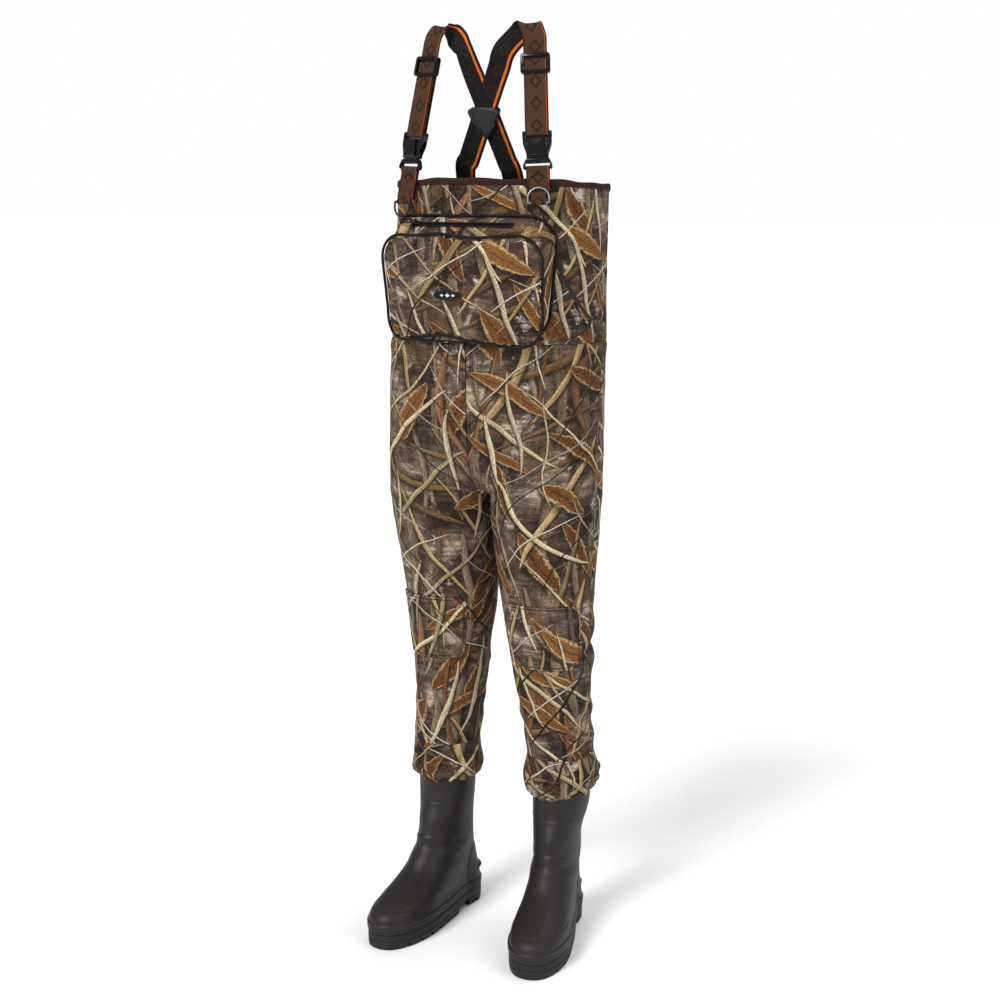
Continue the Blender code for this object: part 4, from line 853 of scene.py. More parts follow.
def build_knee_patch(name, side):
    a, b = np.meshgrid(np.linspace(-1, 1, 81), np.sin(np.linspace(-math.pi / 2, math.pi / 2, 61)))
    u, z = knee_place(a, b)
    base, normal = leg(u, z), normals(leg, u, z)
    edge = np.minimum((1 - np.abs(a)) * KNEE_HALF_X, (1 - np.abs(b)) * KNEE_HALF_Z)
    lift = relief(mirrored(base, side)) + 0.0034 - 0.0014 * bump(edge, 0.0012) - 0.0013 * bump(edge - 0.005, 0.0014)
    outer, inner = layers(base, normal, lift, 0.0026, side)
    uv = print_place(outer, 40, (1.1, 0.9) if side > 0 else (1.45, 0.2))
    wall(f"{name}_knee_patch", side, outer, inner, [CAMO, LINING, BLACK_THREAD], uv)
    t = np.linspace(0, 2 * math.pi, 400)
    u, z = knee_place(*np.clip([1.3 * np.cos(t), 1.3 * np.sin(t)], -1, 1), 0.005)
    base, normal = leg(u, z), normals(leg, u, z)
    path = mirrored(base + normal * (relief(mirrored(base, side)) + 0.0024)[:, None], side)
    sew(f"{name}_knee_stitches", path, BLACK_THREAD, 0.0040, 0.0033, 0.00095)


# ---------------------------------------------------------------- boots


def build_boots():
    for side, name in SIDES:
        share = np.linspace(0, 1, 220, endpoint=False)
        heights = np.concatenate([np.linspace(SOLE_TOP_Z + 0.001, 0.16, 150), np.linspace(0.162, 0.357, 110)])
        s, z = np.meshgrid(share, heights)
        p = boot(s, z)
        normal = normals(boot, s, np.clip(z, SOLE_TOP_Z + 0.003, 0.355), 0.001)
        x, y = p[..., 0], p[..., 1]
        foxing = 0.0022 * smooth_step((0.048 - z) / 0.002)
        rib = 0.0007 * np.cos((z - 0.038) * 2 * math.pi / 0.0065) * smooth_step((0.046 - z) / 0.002)
        toe_cap = 0.0016 * smooth_step((0.067 - z) / 0.0022) * smooth_step((-0.085 - y) / 0.050)
        counter = smooth_step((y - 0.018 - 0.35 * np.abs(z - 0.075)) / 0.002) * smooth_step((0.118 - z) / 0.002)
        spur = 0.0055 * bump(z - 0.068, 0.005) * smooth_step((y - 0.052) / 0.016)
        vamp = smooth_step((0.130 - np.hypot(y + 0.108, z - 0.045)) / 0.0025) * smooth_step((z - 0.062) / 0.01)
        lines = 0.0012 * bump(z - 0.232 - 0.06 * y, 0.0013) - 0.0008 * bump(z - 0.236 - 0.06 * y, 0.0016)
        ankle = 0.0012 * np.sin((z - 0.12) * 2 * math.pi / 0.038 + 7 * x) * bump(z - 0.145, 0.028)
        creases = ankle * smooth_step((0.015 - y) / 0.04) + 0.0016 * noise(p, (11, 9, 9), 20.0 + side)
        back_seam = 0.0012 * bump(x, 0.0022) * (y > 0) * smooth_step((z - 0.085) / 0.01)
        lift = foxing + rib + toe_cap + 0.0012 * counter + spur + 0.0013 * vamp + lines + back_seam
        lift = lift + creases * smooth_step((z - 0.055) / 0.02) * smooth_step((0.30 - z) / 0.05)
        outer, inner = p + normal * lift[..., None], p - normal * 0.0035
        outer[..., 2] = np.maximum(outer[..., 2], SOLE_TOP_Z + 0.0003)
        outer, inner = stand(outer, side), stand(inner, side)
        x0, y0, half_x, half_y = between(LEG, z)
        angle = 2 * math.pi * (s - 0.25) + TOE_OUT
        opened = smooth_step((z - 0.190) / 0.078)[..., None]
        for grid, inside in ((outer, NEOPRENE + 0.0018), (inner, NEOPRENE + 0.0053)):
            px, py = rounded(angle, half_x - inside, half_y - inside)
            grid += (mirrored(stack(x0 + px, y0 + py, z), side) - grid) * opened
        uv = print_place(outer, 110, (0, 0))
        wall(f"{name}_boot_upper", side, outer, inner, [RUBBER, LINING, RUBBER], uv, True)
        build_outsole(name, side)
        build_insole(name, side)


def sole_rings(rows, count, side):
    """The boot's outline at its seat, grown and set at each row's height, as a capped loft."""
    share, loops = np.linspace(0, 1, count, endpoint=False), []
    for z, grow in rows:
        ring = boot(share, np.full(count, SOLE_TOP_Z + GAP), grow)
        ring[:, 2] = z
        loops.append(ring)
    return stand(np.array(loops), side), ring_faces(len(rows), count)


def build_outsole(name, side):
    """A lugged sole with a heel block, as one loft whose lugs are cut."""
    rows = [(0.0, 0.0015), (0.0012, 0.0032), (0.006, 0.0038), (0.0130, 0.0040), (0.0142, 0.0030), (0.0156, 0.0030),
            (0.0168, 0.0042), (0.0262, 0.0042), (0.0278, 0.0036), (0.0280, 0.0020)]
    sole = solid(f"{name}_outsole", *sole_rings(rows, 180, side), [SOLE_RUBBER], crease=35)
    turn = Matrix.Translation((side * BOOT_X, BOOT_Y + BACK, 0)) @ Matrix.Rotation(side * TOE_OUT, 4, "Z")
    cuts = [((-0.08, -0.020, -0.01), (0.08, 0.022, 0.013))]
    cuts += [((-0.08, y - 0.0035, -0.01), (0.08, y + 0.0035, 0.007))
             for y in (-0.190, -0.160, -0.130, -0.100, -0.070, 0.044, 0.064)]
    cuts += [((-0.011, y - 0.004, -0.01), (0.011, y + 0.004, 0.006))
             for y in (-0.205, -0.175, -0.145, -0.115, -0.085, -0.052)]
    for low, high in cuts:
        cutter = box("cutter", low, high, 0.0012)
        cutter.matrix_world = turn
        carve(sole, cutter)
    file_away(sole, "waders", [f"{name}_outsole"])


def build_insole(name, side):
    rows = ((0.0283, -0.0070), (0.0290, -0.0065), (0.0320, -0.0065), (0.0333, -0.0080), (0.0333, -0.012))
    obj = solid(f"{name}_insole", *sole_rings(rows, 120, side), [LINING])
    file_away(obj, "waders", [f"{name}_insole"])


def box(name, low, high, bevel):
    """A box between two corners with its edges rounded."""
    edit = bmesh.new()
    bmesh.ops.create_cube(edit, size=1)
    size, middle = Vector(high) - Vector(low), (Vector(high) + Vector(low)) / 2
    edit.transform(Matrix.Translation(middle) @ Matrix.Diagonal((*size, 1)))
    bmesh.ops.bevel(edit, geom=edit.edges[:], offset=bevel, segments=3, profile=0.5, affect="EDGES")
    return from_edit(name, edit)


def block(name, half_x, y, z, bevel):
    """A box as wide to the left as to the right, between the two values of y and of z."""
    return box(name, (-half_x, y[0], z[0]), (half_x, y[1], z[1]), bevel)


def about(middle, half):
    return middle - half, middle + half


def from_edit(name, edit):
    mesh = bpy.data.meshes.new(name)
    bmesh.ops.recalc_face_normals(edit, faces=edit.faces)
    edit.to_mesh(mesh)
    edit.free()
    obj = bpy.data.objects.new(name, mesh)
    bpy.context.scene.collection.objects.link(obj)
    return obj


def plate(name, outline, low, high, bevel):
    """An XZ outline, thick from y = low to high, with its rims rounded."""
    edit = bmesh.new()
    front, back = ([edit.verts.new((x, y, z)) for x, z in outline] for y in (low, high))
    rims = [edit.faces.new(front), edit.faces.new(back[::-1])]
    for i in range(len(outline)):
        edit.faces.new((front[i], front[i - 1], back[i - 1], back[i]))
    edges = {edge for face in rims for edge in face.edges}
    bmesh.ops.bevel(edit, geom=list(edges), offset=bevel, segments=3, profile=0.5, affect="EDGES")
    return from_edit(name, edit)


def carve(obj, other, operation="DIFFERENCE"):
    """Cuts or joins the other mesh for good."""
    modifier = obj.modifiers.new("carve", "BOOLEAN")
    modifier.operation, modifier.object, modifier.solver = operation, other, "EXACT"
    bpy.context.view_layer.update()
    mesh = bpy.data.meshes.new_from_object(obj.evaluated_get(bpy.context.evaluated_depsgraph_get()))
    obj.modifiers.clear()
    obj.data = mesh
    bpy.data.objects.remove(other)


def fit(obj, placed, material, body, nodes):
    """Places a hard piece built in a frame about the hips' middle, rounds its shading and files it away."""
    obj.data.materials.append(material)
    obj.matrix_world = Matrix.Translation((0, BACK, 0)) @ placed
    obj.data.shade_smooth()
    obj.data.set_sharp_from_angle(angle=math.radians(35))
    file_away(obj, body, nodes)


# ---------------------------------------------------------------- pockets

POUCH_HALF, POUCH_TOP_Z, POUCH_BOTTOM_Z, POUCH_SAG, POUCH_FRONT_Y = 0.150, 1.340, 1.130, 0.034, -0.187
POUCH_WEDGE, POUCH_TAPER, POUCH_BOW, POUCH_CORNER, CLOTH, PIPING = 0.023, 0.065, 0.018, 0.045, 0.003, 0.0025
POUCH_MIDDLE_Z, POUCH_CROWN, POUCH_SETBACK = 1.2180, 0.0150, 0.0018
ZIP_Y, ZIP_Z, ZIP_TILT, ZIP_HALF = -0.160, 1.3255, math.radians(36), 0.092
BADGE_X, BADGE_Z, BADGE_HALF_X, BADGE_HALF_Z = -0.012, 1.2073, 0.027, 0.0085


def build_hand_warmer():
    """A flat pocket panel across the chest with a slanted, taped opening at each side."""
    low, high, radius, half_x, opening_z, slant = 1.1302, 1.3300, 0.030, 0.1905, 1.165, 0.43
    curved = low + radius * (1 - np.cos(np.linspace(0, math.pi / 2, 24)))
    a, z = np.meshgrid(np.linspace(-1, 1, 181), np.concatenate([curved, np.linspace(1.162, high, 60)]))
    corner = radius * (1 - np.sqrt(1 - np.clip((low + radius - z) / radius, 0, 1) ** 2))
    reach = half_x - slant * np.maximum(z - opening_z, 0) - corner
    side = np.arccos((reach / between(TORSO, z)[1]) ** (ROUNDNESS / 2))
    angle = a * (math.pi / 2 - side) - math.pi / 2
    base, normal = torso(angle, z), normals(torso, angle, z)
    inset = (1 - np.abs(a)) * reach
    bound = smooth_step((0.0105 - inset) / 0.0012)
    lift = relief(base) + 0.0034 + 0.0009 * bound - 0.0010 * bump(inset - 0.0120, 0.0013)
    lift = lift + 0.0030 * bump(inset, 0.030) * smooth_step((z - 1.18) / 0.04)
    outer, inner = layers(base, normal, lift, 0.0028)
    uv = print_place(outer, 90, (0.07, 0.013))
    taped = bound[:-1, :-1] > 0.5
    wall("hand_warmer_panel", 1, outer, inner, [CAMO, LINING, GREY_TAPE], uv, indices=np.where(taped, 2, 0))
    for column, name in ((169, "left"), (11, "right")):  # the columns just inside the tape
        path = outer[4:, column] + normal[4:, column] * 0.0002
        sew(f"{name}_opening_stitches", path, BLACK_THREAD)


def pouch_outline_point(share, grow=0.0, sag=0.0):
    """The pouch's rounded rectangle, as x and height. It runs from the middle of the top over +X."""
    half, corner = POUCH_HALF + grow, POUCH_CORNER + grow
    low, high = POUCH_BOTTOM_Z - grow, POUCH_TOP_Z - sag + grow
    straight_x, straight_z = half - corner, (high - low) - 2 * corner
    bend = math.pi / 2 * corner
    lengths = [straight_x, bend, straight_z, bend, 2 * straight_x, bend, straight_z, bend, straight_x]
    s = (share % 1.0) * sum(lengths)
    k = 0
    while s > lengths[k] and k < 8:
        s -= lengths[k]
        k += 1
    turn = s / corner
    c, n = corner * math.cos(turn), corner * math.sin(turn)
    x0, z0, z1 = half - corner, high - corner, low + corner
    x, z = [(s, high), (x0 + n, z0 + c), (half, z0 - s), (x0 + c, z1 - n), (x0 - s, low), (-x0 - n, z1 - c),
            (-half, z1 + s), (-x0 - c, z0 + n), (-x0 + s, high)][k]
    return x * (1 - POUCH_TAPER * float(descent(z))), z


def descent(z):
    top = POUCH_TOP_Z - POUCH_SAG
    return np.clip((top - z) / (top - POUCH_BOTTOM_Z), 0, 1)


def front_y(x, z):
    return POUCH_FRONT_Y + POUCH_BOW * (x / POUCH_HALF) ** 2 + POUCH_WEDGE * descent(z)


def front_wave(x, z):
    """How the slack front's edges sink and its lower corners point out, added to its smooth shape."""
    top, low = smooth_step((z - 1.20) / 0.10), smooth_step((1.205 - z) / 0.075)
    rise = (0.0016 * bump(x + 0.03, 0.03) - 0.0050 * bump(x - 0.035, 0.045) - 0.0022 * bump(x + 0.085, 0.03)) * top
    rise = rise + (0.0100 * bump(x + 0.040, 0.050) - 0.0060 * bump(x - 0.085, 0.045)) * low
    corner = bump(np.abs(x) - 0.128, 0.030) * bump(z - 1.142, 0.030)
    return stack(np.sign(x) * 0.0050 * corner, 0.0, rise - 0.0055 * corner)


def gusset_rows(count, depths, grow):
    """Grids of the pouch's side wall from the chest, depth 0, to the front edge, depth 1, bent at the zip's bed."""
    shares = np.arange(count) / count
    rear = np.array([pouch_outline_point(s, grow) for s in shares])
    fore = np.array([pouch_outline_point(s, grow, POUCH_SAG) for s in shares])
    back = stack(rear[:, 0], chest_y(rear[:, 0], rear[:, 1]) - 0.0052, rear[:, 1])
    front = stack(fore[:, 0], front_y(fore[:, 0], fore[:, 1]), fore[:, 1])
    middle = (back + front) / 2
    straight = stack(middle[:, 0], ZIP_Y, ZIP_Z - 0.0015 + grow)
    top = POUCH_TOP_Z - POUCH_SAG / 2 + grow
    share = smooth_step(1 - (top - middle[:, 2]) / 0.012)[:, None]
    bed = middle + (straight - middle) * share
    front = front + front_wave(front[:, 0], front[:, 2])
    rows = []
    for depth in depths:
        rows.append(back + (bed - back) * depth * 2 if depth < 0.5 else bed + (front - bed) * (depth * 2 - 1))
    return np.array(rows)


def build_pouch():
    count = 300
    depths = np.linspace(0, 0.985, 26)
    outer, inner = gusset_rows(count, depths, 0.0), gusset_rows(count, depths, -CLOTH)
    middle = outer.mean(axis=(0, 1))
    away = unit((outer - middle) * (1, 0, 1))
    topness = smooth_step((outer[..., 2] - 1.300) / 0.012)
    slack = np.sin(math.pi * depths)[:, None]
    lift = slack * (0.0030 + 0.0030 * noise(outer, (22, 30, 22), 31.0)) * (1 - topness)
    outer, inner = outer + away * lift[..., None], inner + away * lift[..., None]
    uv = np.stack(np.broadcast_arrays(np.arange(count) / count * 0.66, outer[..., 1] + 1.9), -1)
    wall("pouch_gusset", 1, outer[::-1], inner[::-1], [CAMO, LINING, CAMO], uv[::-1], closed=True)
    build_pouch_front(count)
    for name, depth in (("pouch_front_piping", 1.0), ("pouch_back_piping", 0.10)):
        path = gusset_rows(count, [depth], PIPING * 1.35 + GAP)[0]
        path = path + 0.0004 * noise(path, (45, 45, 45), 40.0)[:, None]
        file_away(tube(name, path, PIPING, PIPING_CLOTH), "waders", [name])
    build_zip()
    build_badge()


def pouch_face(r, rim):
    """The pouch's crowned front: r 0 is its middle and 1 its rim, whose points are x and height."""
    r, rim_x, rim_z = r[:, None], rim[None, :, 0], rim[None, :, 1]
    x, z = r * rim_x, POUCH_MIDDLE_Z + r * (rim_z - POUCH_MIDDLE_Z)
    p = stack(x, front_y(x, z) - POUCH_SETBACK - POUCH_CROWN * (1 - r**2.4), z)
    dents = 0.0022 * noise(p, (13, 13, 19), 52.0) + 0.0012 * noise(p, (38, 20, 22), 57.0)
    pull = -0.00098 * bump(r - 0.93, 0.045) * (0.5 + 0.5 * np.sin(rim_x * 260 + 40 * z))
    p[..., 1] -= dents * (1 - r**6) + pull
    return p + front_wave(x, z)


def build_pouch_front(count):
    rim = np.array([pouch_outline_point(s / count, -0.0022, POUCH_SAG) for s in range(count)])
    r = np.sin(np.linspace(0.012, math.pi / 2, 54))
    outer = pouch_face(r, rim)
    outer[-1, :, 1] += 0.0008
    inner = outer + (0, 0.0026, 0)
    uv = np.stack([outer[..., 0] + 0.155, outer[..., 2] + 0.021], -1)
    obj = shell("pouch_front_panel", outer[:, ::-1], inner[:, ::-1], [CAMO, LINING, CAMO], uv[:, ::-1], closed=True)
    edit = bmesh.new()
    edit.from_mesh(obj.data)
    holes = [edge for edge in edit.edges if edge.is_boundary]
    bmesh.ops.holes_fill(edit, edges=holes, sides=0)
    edit.to_mesh(obj.data)
    edit.free()
    file_away(obj, "waders", ["pouch_front_panel"])


def build_zip():
    """Tape, interlocked teeth, slider and its pull. X runs along it and Z out of it."""
    placed = Matrix.Translation((0, ZIP_Y, ZIP_Z)) @ Matrix.Rotation(ZIP_TILT, 4, "X")
    tape = block("zip_tape", ZIP_HALF + 0.004, (-0.006, 0.006), (0, 0.0010), 0.0004)
    fit(tape, placed, PIPING_CLOTH, "waders", ["zip_tape"])
    edit = bmesh.new()
    count = 122
    for i in range(count):
        x = -ZIP_HALF + 0.0008 + i * (2 * ZIP_HALF - 0.0016) / (count - 1)
        side = 1 if i % 2 else -1
        made = bmesh.ops.create_cube(edit, size=1)["verts"]
        shape = Matrix.Translation((x, side * 0.0006, 0.0021)) @ Matrix.Diagonal((0.0010, 0.0028, 0.0015, 1))
        bmesh.ops.transform(edit, matrix=shape, verts=made)
    bmesh.ops.bevel(edit, geom=edit.edges[:], offset=0.0002, segments=1, affect="EDGES")
    fit(from_edit("zip_coil", edit), placed, PLASTIC, "waders", ["zip_coil"])
    placed = placed @ Matrix.Translation((0.007 - ZIP_HALF, 0, 0.0033))
    slider = block("zip_slider", 0.0065, (-0.0042, 0.0042), (0, 0.0018), 0.0006)
    carve(slider, block("bridge", 0.0040, (-0.0010, 0.0010), (0.0010, 0.0056), 0.0005), "UNION")
    carve(slider, block("eye", 0.0022, (-0.0030, 0.0030), (0.0018, 0.0044), 0.0003))
    fit(slider, placed, DARK_STEEL, "zip_slider", ["zip_slider"])
    pull = box("zip_pull", (-0.0300, -0.0050, -0.0006), (0.0008, 0.0050, 0.0006), 0.0004)
    carve(pull, box("hole", (-0.0064, -0.0034, -0.004), (-0.0008, 0.0034, 0.004), 0.0008))
    carve(pull, box("slot", (-0.0270, -0.0022, -0.004), (-0.0120, 0.0022, 0.004), 0.0015))
    fit(pull, placed @ Matrix.Translation((0, 0, 0.0031)), DARK_STEEL, "zip_pull", ["zip_pull"])


def build_badge():
    """A crowned oval badge with a raised rim and three lozenges."""
    y = float(front_y(BADGE_X, BADGE_Z)) - POUCH_SETBACK - POUCH_CROWN
    tilt = Matrix.Rotation(-math.atan2(POUCH_WEDGE, 0.176) * 0.9, 4, "X")
    rows = [(1.0, 0.0016), (1.0, -0.0010), (0.975, -0.0018), (0.93, -0.0019), (0.90, -0.0013), (0.86, -0.0007),
            (0.5, -0.0011), (0.02, -0.0013)]
    turn = np.linspace(0, 2 * math.pi, 96, endpoint=False)
    points = []
    for r, out in rows:
        tall = r if r < 0.9 else 1 - (1 - r) * 2.6
        points.append(stack(BADGE_HALF_X * r * np.cos(turn), out, BADGE_HALF_Z * tall * np.sin(turn)))
    edit = bmesh.new()
    corners = [edit.verts.new(p) for p in np.concatenate(points)]
    for face in ring_faces(len(rows), 96):
        edit.faces.new([corners[i] for i in face])
    badge = from_edit("pouch_badge", edit)
    placed = Matrix.Translation((BADGE_X, y - 0.0014, BADGE_Z)) @ tilt
    fit(badge, placed, BADGE_PLASTIC, "waders", ["pouch_badge"])
    for k in (-1, 0, 1):
        size = 0.0046 if k == 0 else 0.0034
        lozenge = [(0.0105 * k + size * x, 0.72 * size * z) for x, z in ((-1, 0), (0, -1), (1, 0), (0, 1))]
        mark = plate(f"badge_lozenge_{k + 2}", lozenge, -0.0017, -0.0006, 0.00025)
        fit(mark, placed, MOTIF_PLASTIC, "waders", [])


# ---------------------------------------------------------------- straps and their hardware

STRAP_WIDTH, WEBBING, TAB_WEBBING, KEEPER_WEBBING, KEEPER_WIDTH = 0.040, 0.0022, 0.0018, 0.0014, 0.025
TAB_X, RUN_OFFSET, RUN_TURN, RUN_LEAN = 0.1195, 0.0125, math.radians(19), (0.114, 0.200)
BUCKLE_Y, TAB_BACK_Y, PLUG_BAR = 0.0028, 0.0060, 0.020
PLUG_TOP = PLUG_BAR + 0.017
MOUTH = PLUG_TOP + 0.0005
SOCKET_TOP = MOUTH + 0.045
SOCKET_BAR = SOCKET_TOP - 0.004
ADJUSTER, LOOP_TOP, LOOP_BACK_TOP, STRAP_END = 0.197, 0.205, 0.187, 0.188
BUCKLE_HALF, POST_HALF, RING_BAR, RING_BAR_Y = 0.025, 0.0212, -0.040, -0.0018
RING_WIRE, RING_HALF, RING_HEIGHT = 0.0018, 0.0182, 0.0255
JOINER, CROSSING_SLOPE = (-0.015, -0.030, 1.503), math.radians(18)
CROSSING, CROSSING_ANGLES = (0.0047, 0.0207), {1: math.radians(26.5), -1: math.radians(15.5)}
CROSSING_STEP, BACK_FOOT = 0.0018, (-0.036, 0.047)


def run_frame(side):
    """The frame of a front strap: X across it, -Y out of its face, Z up along it, origin at the hem."""
    half_x = float(between(TORSO, HEM_Z)[1])
    angle = -math.acos((TAB_X / half_x) ** (ROUNDNESS / 2))
    start = Vector(torso(angle, HEM_Z))
    face = Vector((math.sin(RUN_TURN), -math.cos(RUN_TURN), 0))
    z = Vector((-RUN_LEAN[0], RUN_LEAN[1], 1)).normalized()
    y = (z * face.dot(z) - face).normalized()
    x = y.cross(z)
    start = start + face * RUN_OFFSET
    if side < 0:
        start.x, x, y, z = -start.x, Vector((x.x, -x.y, -x.z)), Vector((-y.x, y.y, y.z)), Vector((-z.x, z.y, z.z))
    placed = Matrix((x, y, z)).transposed().to_4x4()
    placed.translation = start
    return placed


def in_frame(placed, points):
    matrix = np.array(placed)
    return np.asarray(points) @ matrix[:3, :3].T + matrix[:3, 3]


def strap_line(placed, line, name, width, thickness, body, closed):
    """Webbing through (y, z) places of a strap's frame."""
    line = np.asarray(line, float)
    middles = in_frame(placed, stack(0.0, line[:, 0], line[:, 1]))
    across = np.broadcast_to(np.array(placed)[:3, 0], middles.shape)
    obj = ribbon(name, middles, across, width, thickness, [STRAP_FACE, STRAP_BACK], 1, closed)
    file_away(obj, body, [name])


def arc(middle_y, z, radius, start, turn, count=10):
    angles = start + turn * np.arange(1, count) / count
    return [(middle_y + radius * math.cos(a), z + radius * math.sin(a)) for a in angles]


def loop_line(low, high, back_y, gaps):
    """A flat loop whose front ply stands gaps = (bottom, middle, top) in front of its straight back ply."""
    heights = np.linspace(low, high, 26)
    bottom, top = smooth_step(1 - (heights - low) / 0.009), smooth_step(1 - (high - heights) / 0.009)
    gap = gaps[1] + (gaps[0] - gaps[1]) * bottom + (gaps[2] - gaps[1]) * top
    line = [(back_y, z) for z in heights]
    line += arc(back_y - gaps[2] / 2, high, gaps[2] / 2, 0, math.pi)
    line += list(zip((back_y - gap)[::-1], heights[::-1]))
    line += arc(back_y - gaps[0] / 2, low, gaps[0] / 2, math.pi, math.pi)
    return line


def build_main_strap(side, name, placed):
    """From the adjuster over the shoulder, across the other strap, and down inside the back."""
    x_axis = placed.to_3x3() @ Vector((1, 0, 0))
    y = GAP + WEBBING / 2 + 0.0001
    lean = Vector((0, math.sin(CROSSING_SLOPE), -math.cos(CROSSING_SLOPE)))
    out = Vector((0, -math.cos(CROSSING_SLOPE), -math.sin(CROSSING_SLOPE)))
    angle = CROSSING_ANGLES[side]
    along = (lean * math.cos(angle) + Vector((-side, 0, 0)) * math.sin(angle)).normalized()
    middle = Vector(JOINER) + Vector((CROSSING[0], 0, 0)) - lean * CROSSING[1] + out * (CROSSING_STEP * side)
    wide = along.cross(out).normalized()
    wide = -wide if wide.x < 0 else wide
    foot_x = BACK_FOOT[0] - side * BACK_FOOT[1]
    half_x = float(between(TORSO, 1.34)[1])
    back = math.acos(math.copysign((abs(foot_x) / half_x) ** (ROUNDNESS / 2), foot_x))
    flat = Vector(torso(back - 0.05, 1.34) - torso(back + 0.05, 1.34))

    def inside(z, distance):
        angles, heights = np.array([back]), np.array([z])
        return Vector((torso(angles, heights) - normals(torso, angles, heights) * distance)[0])

    rows = [(placed @ Vector((0, y, s)), x_axis) for s in (STRAP_END, 0.212, 0.232, 0.240)]
    for across, behind, height, turned in ((0.0030, 0.0020, 0.2530, 0), (0.0080, 0.0062, 0.2655, 0.02),
                                           (0.0145, 0.0158, 0.2695, 0.05), (0.0240, 0.0245, 0.2610, 0.12)):
        rows.append((placed @ Vector((-side * across, behind, height)), x_axis.lerp(wide, turned)))
    rows += [(middle - along * 0.112, x_axis.lerp(wide, 0.30)), (middle - along * 0.080, x_axis.lerp(wide, 0.7))]
    rows += [(middle + along * s, wide) for s in (-0.055, -0.030, 0, 0.035, 0.070, 0.100, 0.125)]
    rows += [(inside(z, d), flat.normalized()) for z, d in ((1.338, 0.0135), (1.316, 0.0110), (1.286, 0.0100))]
    path = curve([(*p, *w) for p, w in rows], 420)
    obj = ribbon(f"{name}_strap", path[:, :3], path[:, 3:], STRAP_WIDTH, WEBBING, [STRAP_FACE, STRAP_BACK], -1)
    file_away(obj, "waders", [f"{name}_strap"])


def build_ring(side, name, placed):
    """A D-ring of bent wire. The left one is flipped up and the right one hangs."""
    shoulder = RING_HEIGHT - RING_HALF
    turn = np.linspace(0, math.pi, 61)
    xs = np.concatenate([np.linspace(RING_HALF, -RING_HALF, 30)[1:-1], [-RING_HALF] * 6, -RING_HALF * np.cos(turn),
                         [RING_HALF] * 6])
    zs = np.concatenate([np.zeros(28), np.linspace(0, shoulder, 7)[:-1], shoulder + RING_HALF * np.sin(turn),
                         np.linspace(shoulder, 0, 7)[1:]])
    rest = Matrix.Identity(4)
    if side < 0:
        lean = math.atan(RUN_LEAN[1] * math.cos(RUN_TURN) - RUN_LEAN[0] * math.sin(RUN_TURN))
        rest = Matrix.Rotation(math.pi + lean, 4, "X")
    path = in_frame(placed @ Matrix.Translation((0, RING_BAR_Y, RING_BAR)) @ rest, stack(xs, 0.0, zs))
    obj = tube(f"{name}_d_ring", path, RING_WIRE, STEEL if side > 0 else DARK_STEEL, around=18)
    file_away(obj, f"{name}_d_ring", [f"{name}_d_ring"])


def rounded_outline(corners, radius, count=6):
    """An outline with its corners rounded."""
    outline = []
    for i, corner in enumerate(corners):
        p, before, after = Vector(corner), Vector(corners[i - 1]), Vector(corners[(i + 1) % len(corners)])
        a, b = before - p, after - p
        reach = min(radius, a.length * 0.45, b.length * 0.45)
        a, b = p + a.normalized() * reach, p + b.normalized() * reach
        for k in range(count + 1):
            t = k / count
            outline.append(tuple(a * (1 - t) ** 2 + p * 2 * t * (1 - t) + b * t**2))
    return outline


def build_plug(name, placed):
    """The buckle's plug: webbing bar, shoulders and centre tongue."""
    low, waist = PLUG_BAR - 0.0017, PLUG_BAR + 0.004
    corners = [(-BUCKLE_HALF, low), (BUCKLE_HALF, low), (BUCKLE_HALF, waist), (0.0195, PLUG_TOP), (-0.0195, PLUG_TOP),
               (-BUCKLE_HALF, waist)]
    obj = plate(f"{name}_buckle_plug", rounded_outline(corners, 0.0035), *about(BUCKLE_Y, 0.0042), 0.0016)
    carve(obj, block("window", 0.0206, (-0.02, 0.02), (PLUG_BAR - 0.01, PLUG_TOP - 0.0085), 0.0012))
    bar = block("bar", POST_HALF + 0.002, about(BUCKLE_Y, 0.0014), about(PLUG_BAR, 0.0014), 0.0005)
    carve(obj, bar, "UNION")
    tongue = block("tongue", 0.0048, about(BUCKLE_Y, 0.0020), (PLUG_TOP - 0.002, MOUTH + 0.027), 0.0008)
    carve(obj, tongue, "UNION")
    groove_z = PLUG_TOP - 0.0056, PLUG_TOP - 0.0046
    carve(obj, block("groove", 0.012, (BUCKLE_Y - 0.0050, BUCKLE_Y - 0.0036), groove_z, 0.0002))
    fit(obj, placed, PLASTIC, "waders", [f"{name}_buckle_plug"])


def build_prong(name, placed, hand):
    corners = [(0.0135, 0), (0.0175, 0), (0.0175, 0.0115), (0.0212, 0.0175), (0.0196, 0.0265), (0.0152, 0.0265),
               (0.0135, 0.0145)]
    corners = [(hand * x, MOUTH + z) for x, z in corners][::hand]
    side = "left" if hand > 0 else "right"
    node = f"{name}_buckle_{side}_prong"
    obj = plate(node, rounded_outline(corners, 0.0018, 4), *about(BUCKLE_Y, 0.0024), 0.0006)
    fit(obj, placed, PLASTIC, node, [node])


def both_halves(side, count):
    """The outline whose right side is a curve through those points and whose left side mirrors it."""
    right = curve(side, count).tolist()
    return right + [(-x, z) for x, z in right[::-1]]


